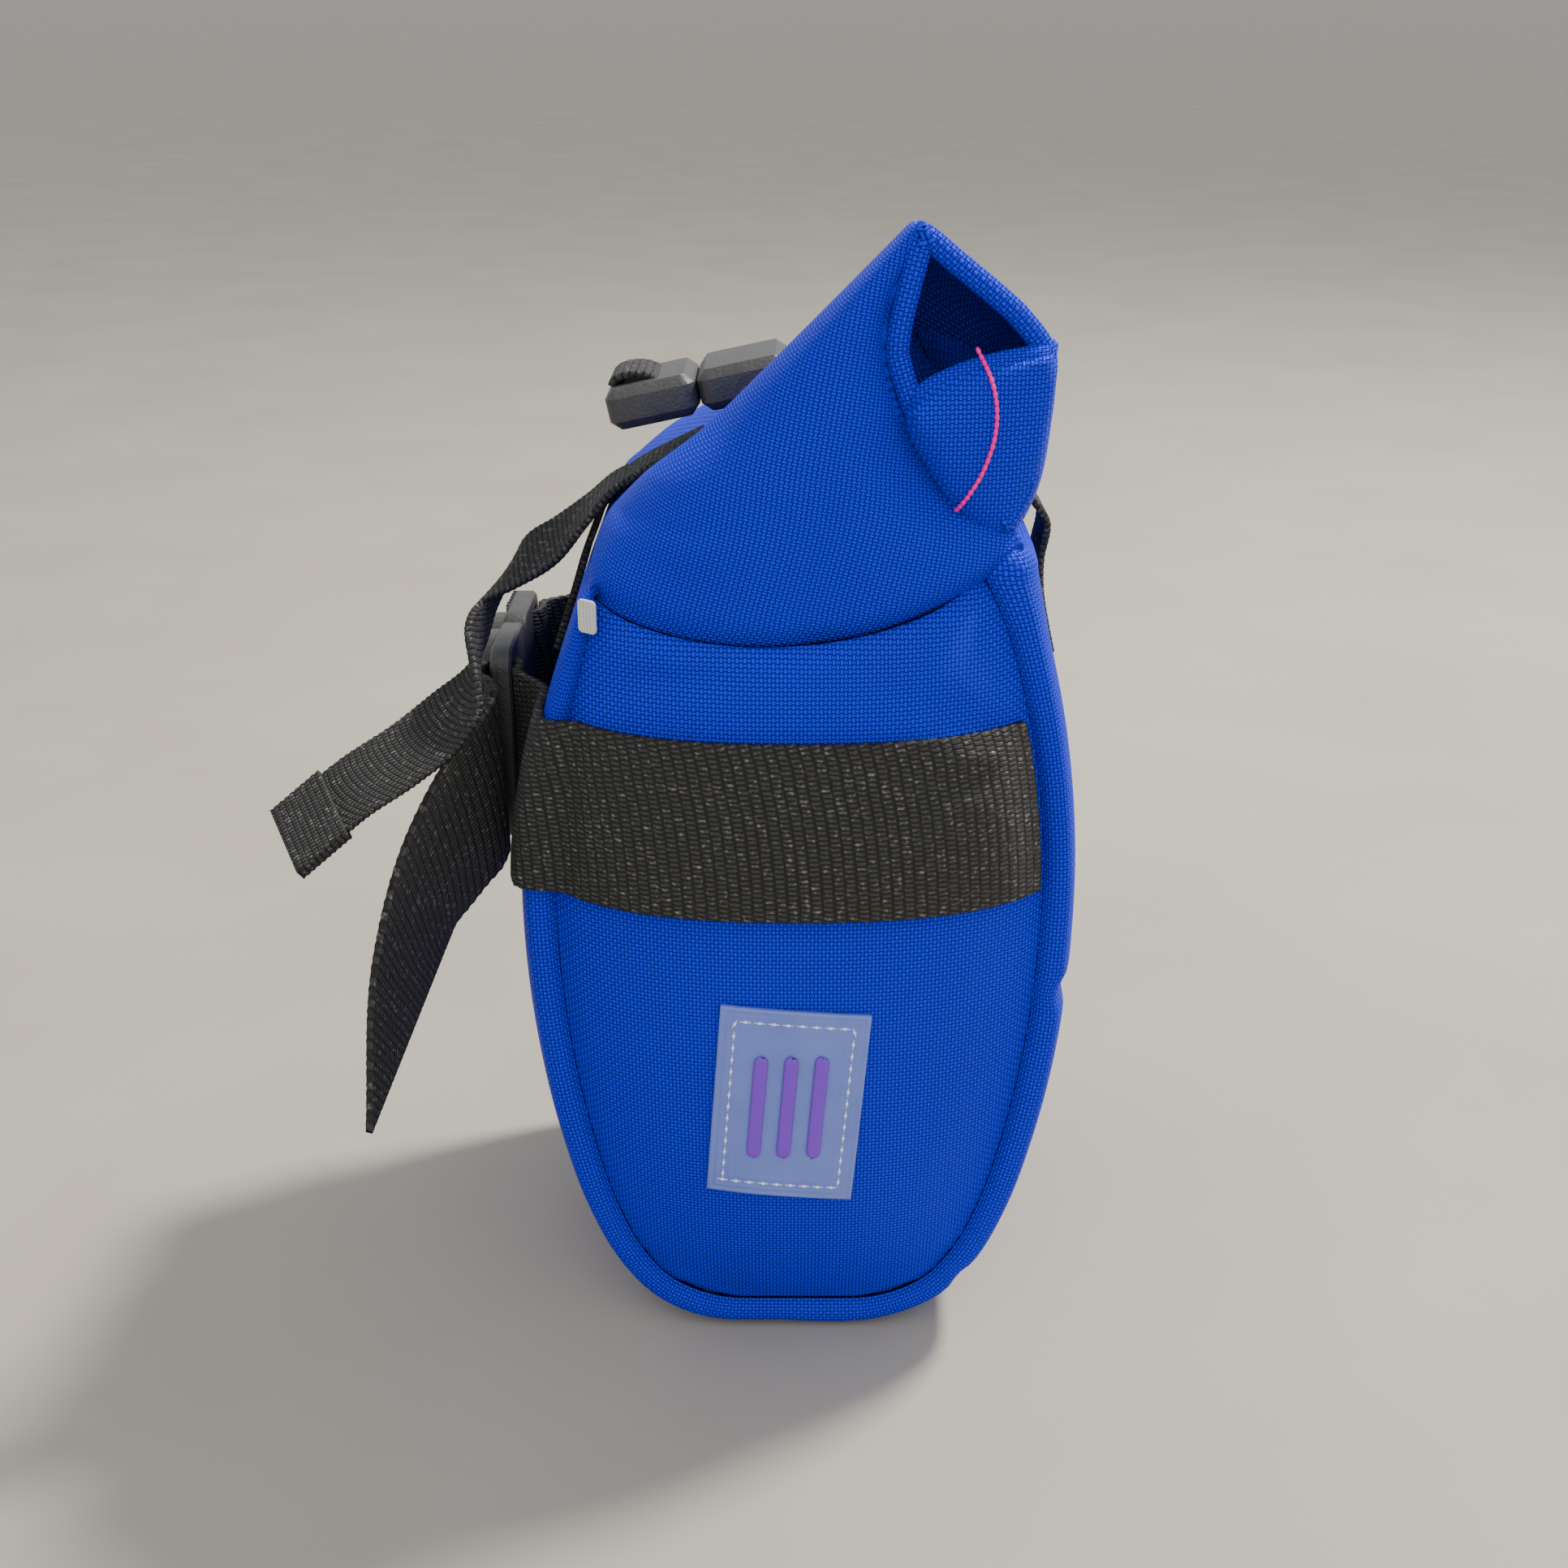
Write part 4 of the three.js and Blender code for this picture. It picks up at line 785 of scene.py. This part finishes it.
def tail_grid(start):
    rows = []
    for out, forward, drop, *lean in CLOSURE_TAIL:
        lean = np.array(lean) / np.linalg.norm(lean)
        middle = np.array([start[0] - out, -forward, start[1] - drop])
        rows.append([middle + lean * share * NARROW for share in (-0.5, 0, 0.5)])
    return np.array(rows)


def hem_grid(start):
    """The end of the tail, folded twice and sewn: a short pad over its last stretch."""
    grid = tail_grid(start)
    along = grid[-1, 1] - grid[-2, 1]
    along /= np.linalg.norm(along)
    across = grid[-1, 2] - grid[-1, 0]
    normal = np.cross(across, along)
    normal *= 0.5 * (HEM_THICK - NARROW_THICK) / np.linalg.norm(normal)
    width = across / np.linalg.norm(across) * 0.5 * (NARROW + 0.8)
    middle = grid[-1, 1] + normal
    rows = []
    for run in np.linspace(-0.5, 0.5, 5):
        at = middle + along * HEM_LENGTH * run
        rows.append([at - width, at, at + width])
    return np.array(rows)


def fold_grid(start):
    """Where the webbing comes up round the small buckle's bar, as a low hump on its front end."""
    frame_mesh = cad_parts["closure_buckle_clip"].data
    points = np.array([point.co for point in frame_mesh.vertices]) / MM
    end = points[points[:, 0] < points[:, 0].min() + 4]
    left, top = end[:, 0].min(), end[:, 2].max()
    rows = []
    for run in np.linspace(0, math.pi, 9):
        x = left + 6.5 - 4.6 * math.cos(run)
        z = top - 0.4 + 2.1 * math.sin(run)
        rows.append([(x, 0.5 * NARROW - share * NARROW, z) for share in (1, 0.5, 0)])
    return np.array(rows)


foot = MOUNT_Z + WIDE / 2 + STRAP_GAP
left_side = gusset_line(-1, foot, float(crease_z(-1.0)) - 1)
left_path = offset_path(np.vstack([left_side, collar_line()[1:7]]), STRAP_GAP + NARROW_THICK)
right_side = gusset_line(1, MOUNT_Z + WIDE / 2, float(crease_z(1.0)) - 1)[::-1]
right_path = offset_path(np.vstack([collar_line()[9:], right_side]), STRAP_GAP + NARROW_THICK)
closing = [
    ribbon("closing_run", flat_strap(left_path), NARROW_THICK, NARROW_COLUMN, narrow_cloth, (0.4, 0.4)),
    ribbon("closing_tail", tail_grid(left_path[-3]), NARROW_THICK, NARROW_COLUMN, narrow_cloth, (0.4, 0.4)),
    ribbon("closing_hem", hem_grid(left_path[-3]), HEM_THICK, NARROW_COLUMN, narrow_cloth, (0.4, 0.4)),
    ribbon("closing_fold", fold_grid(left_path[-3]), NARROW_THICK, NARROW_COLUMN, narrow_cloth, (0.4, 0.4)),
]
finish_piece(joined("closing_strap", closing), "webbing", "closure_strap")
right_strap = ribbon("closing_strap_right", flat_strap(right_path), NARROW_THICK, NARROW_COLUMN, narrow_cloth, (0.4, 0.4))
finish_piece(right_strap, "webbing", "closure_strap_right")

# %% [markdown]
# ## Buckles
# The buckles are moulded in one textured plastic with soft edges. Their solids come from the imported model: a merged
# copy of each is bevelled, which keeps every place and adds only the rounding that a mould leaves.

# %% Plastic and bevelled copies
def make_plastic():
    shader = Shader("textured_plastic")
    fine = shader.noise(1500.0, 3.0)
    coarse = shader.noise(260.0, 4.0)
    worn = (coarse * 0.6 + fine * 0.5).clamp()
    return shader.finish(
        Base_Color=shader.mix(worn, (0.016, 0.0155, 0.015, 1), (0.062, 0.060, 0.056, 1)),
        Roughness=(0.30 + fine * 0.34).clamp(),
        Normal=shader.bump(fine + coarse * 0.8, 0.00035, 0.55),
        Specular_IOR_Level=0.55,
    )


plastic = make_plastic()


def moulded(node, name, width):
    """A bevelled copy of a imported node."""
    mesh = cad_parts[node].data.copy()
    piece = bpy.data.objects.new(name, mesh)
    bpy.context.scene.collection.objects.link(piece)
    bpy.context.view_layer.objects.active = piece
    piece.select_set(True)
    bpy.ops.object.mode_set(mode="EDIT")
    bpy.ops.mesh.select_all(action="SELECT")
    bpy.ops.mesh.remove_doubles(threshold=0.00002)
    bpy.ops.mesh.customdata_custom_splitnormals_clear()
    bpy.ops.mesh.tris_convert_to_quads(face_threshold=0.1, shape_threshold=0.1)
    bpy.ops.object.mode_set(mode="OBJECT")
    bevel = piece.modifiers.new("round", "BEVEL")
    bevel.width, bevel.segments, bevel.limit_method, bevel.angle_limit = width, 3, "ANGLE", math.radians(28)
    bevel.harden_normals = False
    bpy.ops.object.modifier_apply(modifier="round")
    piece.select_set(False)
    mesh.materials.clear()
    mesh.materials.append(plastic)
    mesh.shade_smooth()
    return piece


for node in ("mount_buckle_clip", "mount_buckle_socket", "closure_buckle_clip", "closure_buckle_socket"):
    finish_piece(moulded(node, node + "_moulded", 0.0007), "buckle_plastic", node)

# %% [markdown]
# ## Patch
# The patch is a soft, milky sheet welded with a double raised border and sewn on with clear thread. Light passes
# into it, so it takes a little of the blue behind it. Three raised bars stand for the print.

# %% Patch, bars and tab
PATCH = dict(width=32.0, height=48.0, thick=1.0, x=-2.5, z=70.0, turn=math.radians(4.5))
BARS = dict(count=3, width=3.0, height=26.0, thick=0.5, pitch=6.5)


def on_front(x, z, lift):
    y = -panel_y(x / seam_half(z), z, FRONT_BULGE, PANEL_FOLDS) - lift
    return np.stack([x, y, z], axis=-1)


def patch_grid(centre_x, width, height, lift, count=(60, 44)):
    turn = PATCH["turn"]
    rows, columns = np.linspace(-0.5, 0.5, count[0])[:, None], np.linspace(-0.5, 0.5, count[1])[None, :]
    a, b = columns * width + 0 * rows, rows * height + 0 * columns
    x = centre_x + a * math.cos(turn) + b * math.sin(turn)
    z = PATCH["z"] - a * math.sin(turn) + b * math.cos(turn)
    return on_front(x, z, lift), a, b


def border_relief(a, b):
    """Two thin ribs round the edge and one finer rib inside the stitches."""
    inset = np.minimum(PATCH["width"] / 2 - np.abs(a), PATCH["height"] / 2 - np.abs(b))
    rib = lambda at, wide, high: high * np.exp(-((inset - at) / wide) ** 2)
    return rib(0.5, 0.45, 0.28) + rib(1.9, 0.28, 0.2) + rib(4.6, 0.22, 0.12)


def make_patch_plastic():
    shader = Shader("frosted_patch")
    cloud = shader.noise(120.0, 2.0)
    return shader.finish(
        Base_Color=shader.mix(cloud, (0.12, 0.18, 0.56, 1), (0.17, 0.24, 0.68, 1)),
        Roughness=(0.30 + cloud * 0.12).clamp(),
        Subsurface_Weight=0.25,
        Subsurface_Scale=0.002,
        Coat_Weight=0.35,
        Coat_Roughness=0.22,
    )


patch_plastic = make_patch_plastic()
grid, a, b = patch_grid(PATCH["x"], PATCH["width"], PATCH["height"], PATCH["thick"] + SEAM_GAP, (130, 90))
patch = sheet_mesh("patch", grid, PATCH["thick"], patch_plastic, relief=border_relief(a, b))
finish_piece(patch, "patch_plastic", "label_patch")

purple = Shader("purple_print").finish(Base_Color=(0.19, 0.035, 0.60, 1), Roughness=0.38)
for number in range(BARS["count"]):
    middle = PATCH["x"] + (number - (BARS["count"] - 1) / 2) * BARS["pitch"]
    grid, a, b = patch_grid(middle, BARS["width"], BARS["height"], PATCH["thick"] + 2 * SEAM_GAP + BARS["thick"], (90, 24))
    end = np.maximum(np.abs(b) - (BARS["height"] - BARS["width"]) / 2, 0)
    radius = np.hypot(a, end) / (BARS["width"] / 2)
    grid[..., 1] += 0.34 * np.clip(radius, 0, 1) ** 6
    half = np.sqrt(np.clip((BARS["width"] / 2) ** 2 - end**2, 0.02, None))
    shift = a * (half / (BARS["width"] / 2)) - a
    grid[..., 0] += shift
    bar = sheet_mesh(f"bar_{number + 1}", grid, BARS["thick"], purple)
    finish_piece(bar, "patch_print", f"label_bar_{number + 1}")

tape = Shader("off_white_tape")
thread_u, thread_v, _ = tape.split(tape.node("ShaderNodeTexCoord", {}, {}, "Object"))
ribs = ((thread_v * (math.pi / 0.0005)).sine().size() + tape.noise(900.0)) * 0.5
tape.finish(
    Base_Color=tape.mix(ribs, (0.42, 0.41, 0.37, 1), (0.74, 0.73, 0.68, 1)),
    Roughness=0.85,
    Normal=tape.bump(ribs, 0.0002, 0.8),
)
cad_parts["side_tab"].data.materials.clear()
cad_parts["side_tab"].data.materials.append(tape.material)

# %% [markdown]
# ## Stitches
# A stitch repeats along a line, so one node tree makes them all: it turns a line into points at an even spacing and
# puts a short rounded thread on each, turned along the line. The result becomes a plain mesh.

# %% Node tree for stitches
def stitch_tree():
    tree = bpy.data.node_groups.new("stitches", "GeometryNodeTree")
    tree.interface.new_socket("Geometry", in_out="INPUT", socket_type="NodeSocketGeometry")
    tree.interface.new_socket("Geometry", in_out="OUTPUT", socket_type="NodeSocketGeometry")
    for label, kind, value in (("Spacing", "NodeSocketFloat", 0.0016), ("Length", "NodeSocketFloat", 0.0012),
                               ("Radius", "NodeSocketFloat", 0.00025), ("Material", "NodeSocketMaterial", None)):
        socket = tree.interface.new_socket(label, in_out="INPUT", socket_type=kind)
        if value is not None:
            socket.default_value = value
    made = {kind: tree.nodes.new(kind) for kind in (
        "NodeGroupInput", "NodeGroupOutput", "GeometryNodeMeshToCurve", "GeometryNodeCurveToPoints",
        "GeometryNodeInstanceOnPoints", "GeometryNodeRealizeInstances", "GeometryNodeSetMaterial",
        "GeometryNodeMeshUVSphere", "GeometryNodeTransform", "ShaderNodeCombineXYZ", "GeometryNodeSetShadeSmooth")}
    entry, sphere = made["NodeGroupInput"], made["GeometryNodeMeshUVSphere"]
    sphere.inputs["Segments"].default_value, sphere.inputs["Rings"].default_value = 8, 6
    sphere.inputs["Radius"].default_value = 1.0
    made["GeometryNodeCurveToPoints"].mode = "LENGTH"

    def link(source, output, target, socket):
        tree.links.new(made[source].outputs[output], made[target].inputs[socket])

    link("NodeGroupInput", "Geometry", "GeometryNodeMeshToCurve", "Mesh")
    link("GeometryNodeMeshToCurve", "Curve", "GeometryNodeCurveToPoints", "Curve")
    link("NodeGroupInput", "Spacing", "GeometryNodeCurveToPoints", "Length")
    link("NodeGroupInput", "Radius", "ShaderNodeCombineXYZ", "X")
    link("NodeGroupInput", "Radius", "ShaderNodeCombineXYZ", "Y")
    half = tree.nodes.new("ShaderNodeMath")
    half.operation = "MULTIPLY"
    half.inputs[1].default_value = 0.5
    tree.links.new(entry.outputs["Length"], half.inputs[0])
    tree.links.new(half.outputs[0], made["ShaderNodeCombineXYZ"].inputs["Z"])
    link("GeometryNodeMeshUVSphere", "Mesh", "GeometryNodeSetShadeSmooth", "Geometry")
    link("GeometryNodeSetShadeSmooth", "Geometry", "GeometryNodeTransform", "Geometry")
    link("ShaderNodeCombineXYZ", "Vector", "GeometryNodeTransform", "Scale")
    link("GeometryNodeTransform", "Geometry", "GeometryNodeInstanceOnPoints", "Instance")
    link("GeometryNodeCurveToPoints", "Points", "GeometryNodeInstanceOnPoints", "Points")
    link("GeometryNodeCurveToPoints", "Rotation", "GeometryNodeInstanceOnPoints", "Rotation")
    link("GeometryNodeInstanceOnPoints", "Instances", "GeometryNodeRealizeInstances", "Geometry")
    link("GeometryNodeRealizeInstances", "Geometry", "GeometryNodeSetMaterial", "Geometry")
    link("NodeGroupInput", "Material", "GeometryNodeSetMaterial", "Material")
    link("GeometryNodeSetMaterial", "Geometry", "NodeGroupOutput", "Geometry")
    return tree


STITCHES = stitch_tree()


def sew(name, line, spacing, length, radius, material):
    """Stitches along a line of points in millimetres."""
    line = np.asarray(line) * MM
    mesh = bpy.data.meshes.new(name)
    mesh.from_pydata(line.tolist(), [(k, k + 1) for k in range(len(line) - 1)], [])
    piece = bpy.data.objects.new(name, mesh)
    bpy.context.scene.collection.objects.link(piece)
    maker = piece.modifiers.new("stitches", "NODES")
    maker.node_group = STITCHES
    values = {"Spacing": spacing * MM, "Length": length * MM, "Radius": radius * MM, "Material": material}
    for item in STITCHES.interface.items_tree:
        if item.in_out == "INPUT" and item.name in values:
            maker[item.identifier] = values[item.name]
    view = piece.evaluated_get(bpy.context.evaluated_depsgraph_get())
    plain = bpy.data.meshes.new_from_object(view)
    piece.modifiers.clear()
    piece.data = plain
    if material.name not in [m.name for m in plain.materials if m]:
        plain.materials.append(material)
    return piece


pink = Shader("pink_thread").finish(Base_Color=(1.0, 0.004, 0.33, 1), Roughness=0.5)
clear = Shader("clear_thread").finish(Base_Color=(0.80, 0.86, 1.0, 1), Roughness=0.12, Specular_IOR_Level=0.8)
blue = Shader("blue_thread").finish(Base_Color=(0.002, 0.018, 0.30, 1), Roughness=0.55)

# %% Sew the seams
flap_points, _ = flap_grid(-1)
flap_points = flap_points.reshape(-1, 3)


def on_flap(x, z):
    """The flap's front at a place seen from the front, just proud of it."""
    near = ((flap_points[:, 0] - x) ** 2 + (flap_points[:, 2] - z) ** 2).argsort()[:6]
    return [x, flap_points[near, 1].min() - 0.15, z]


seam_marks = [(34.2, 228.5), (36.4, 224.0), (37.7, 218.5), (37.5, 212.5), (35.6, 206.0), (33.3, 201.5), (31.0, 197.5)]
keys = np.linspace(0, 1, len(seam_marks))
marks = np.array(seam_marks)
fine = np.linspace(0, 1, 60)
seam_line = [on_flap(x, z) for x, z in zip(read(np.stack([keys, marks[:, 0]], -1), fine),
                                           read(np.stack([keys, marks[:, 1]], -1), fine))]
finish_piece(sew("pink_seam", seam_line, 1.45, 1.75, 0.5, pink), "patch_print")


def patch_line(inset):
    w, h = PATCH["width"] / 2 - inset, PATCH["height"] / 2 - inset
    corners = [(-w, -h), (w, -h), (w, h), (-w, h), (-w, -h)]
    points = []
    for (a0, b0), (a1, b1) in zip(corners, corners[1:]):
        for t in np.linspace(0, 1, 24, endpoint=False):
            a, b = a0 + (a1 - a0) * t, b0 + (b1 - b0) * t
            x = PATCH["x"] + a * math.cos(PATCH["turn"]) + b * math.sin(PATCH["turn"])
            z = PATCH["z"] - a * math.sin(PATCH["turn"]) + b * math.cos(PATCH["turn"])
            points.append(on_front(np.array(x), np.array(z), PATCH["thick"] + SEAM_GAP + 0.05).tolist())
    return points


finish_piece(sew("patch_stitches", patch_line(3.3), 3.0, 1.0, 0.36, clear), "patch_plastic")
finish_piece(sew("patch_thread", patch_line(3.3), 3.0, 2.6, 0.14, clear), "patch_plastic")

path, out = seam_path()
for name, side in (("front_seam_stitches", -1), ("back_seam_stitches", 1)):
    inset = 2.1
    line = [(x - ox * inset, side * (HALF_DEPTH + 0.55), z - oz * inset) for (x, z), (ox, oz) in zip(path, out)]
    line = [p for p in line if p[2] < float(crease_z(np.sign(p[0]))) - 3]
    finish_piece(sew(name, line, 2.6, 1.7, 0.2, blue), "nylon")

# %% [markdown]
# ## Floor, light and camera
# The photo is taken from 22 degrees above, with a soft sky and a key light from behind on the right.

# %% Stage
def soft_light(name, place, aim, size, watts, colour):
    lamp = bpy.data.lights.new(name, "AREA")
    lamp.shape, lamp.size, lamp.energy, lamp.color = "DISK", size, watts, colour
    light = bpy.data.objects.new(name, lamp)
    light.location = place
    light.rotation_euler = (Vector(place) - Vector(aim)).to_track_quat("Z", "Y").to_euler()
    bpy.context.scene.collection.objects.link(light)


floor_shader = Shader("floor")
speckle = floor_shader.noise(9.0, 6.0)
floor_colour = floor_shader.mix(speckle, (0.34, 0.308, 0.252, 1), (0.435, 0.40, 0.335, 1))
floor_shader.finish(Base_Color=floor_colour, Roughness=0.85)
floor_mesh = bpy.data.meshes.new("floor")
floor_mesh.from_pydata([(-900, -900, 0), (900, -900, 0), (900, 900, 0), (-900, 900, 0)], [], [(0, 1, 2, 3)])
floor_mesh.materials.append(floor_shader.material)
floor = bpy.data.objects.new("floor", floor_mesh)
bpy.context.scene.collection.objects.link(floor)

MIDDLE = (0, 0, 0.12)
soft_light("key", (0.75, 0.45, 1.45), MIDDLE, 0.22, 46, (1, 0.96, 0.90))
soft_light("fill", (0.25, -1.3, 0.9), MIDDLE, 1.6, 8, (0.96, 0.98, 1))
world = bpy.data.worlds.new("soft sky")
world.use_nodes = True
world.node_tree.nodes["Background"].inputs[0].default_value = (0.93, 0.96, 1, 1)
world.node_tree.nodes["Background"].inputs[1].default_value = 0.88
bpy.context.scene.world = world

camera = bpy.data.objects.new("camera", bpy.data.cameras.new("camera"))
camera.data.lens, camera.data.sensor_width, camera.data.clip_start = 44.72, 36, 0.01
camera.location = (-0.0032, -0.4281, 0.2916)
camera.rotation_euler = (math.radians(68), 0, 0)
bpy.context.scene.collection.objects.link(camera)
bpy.context.scene.camera = camera
print("camera", camera.data.lens, "mm")
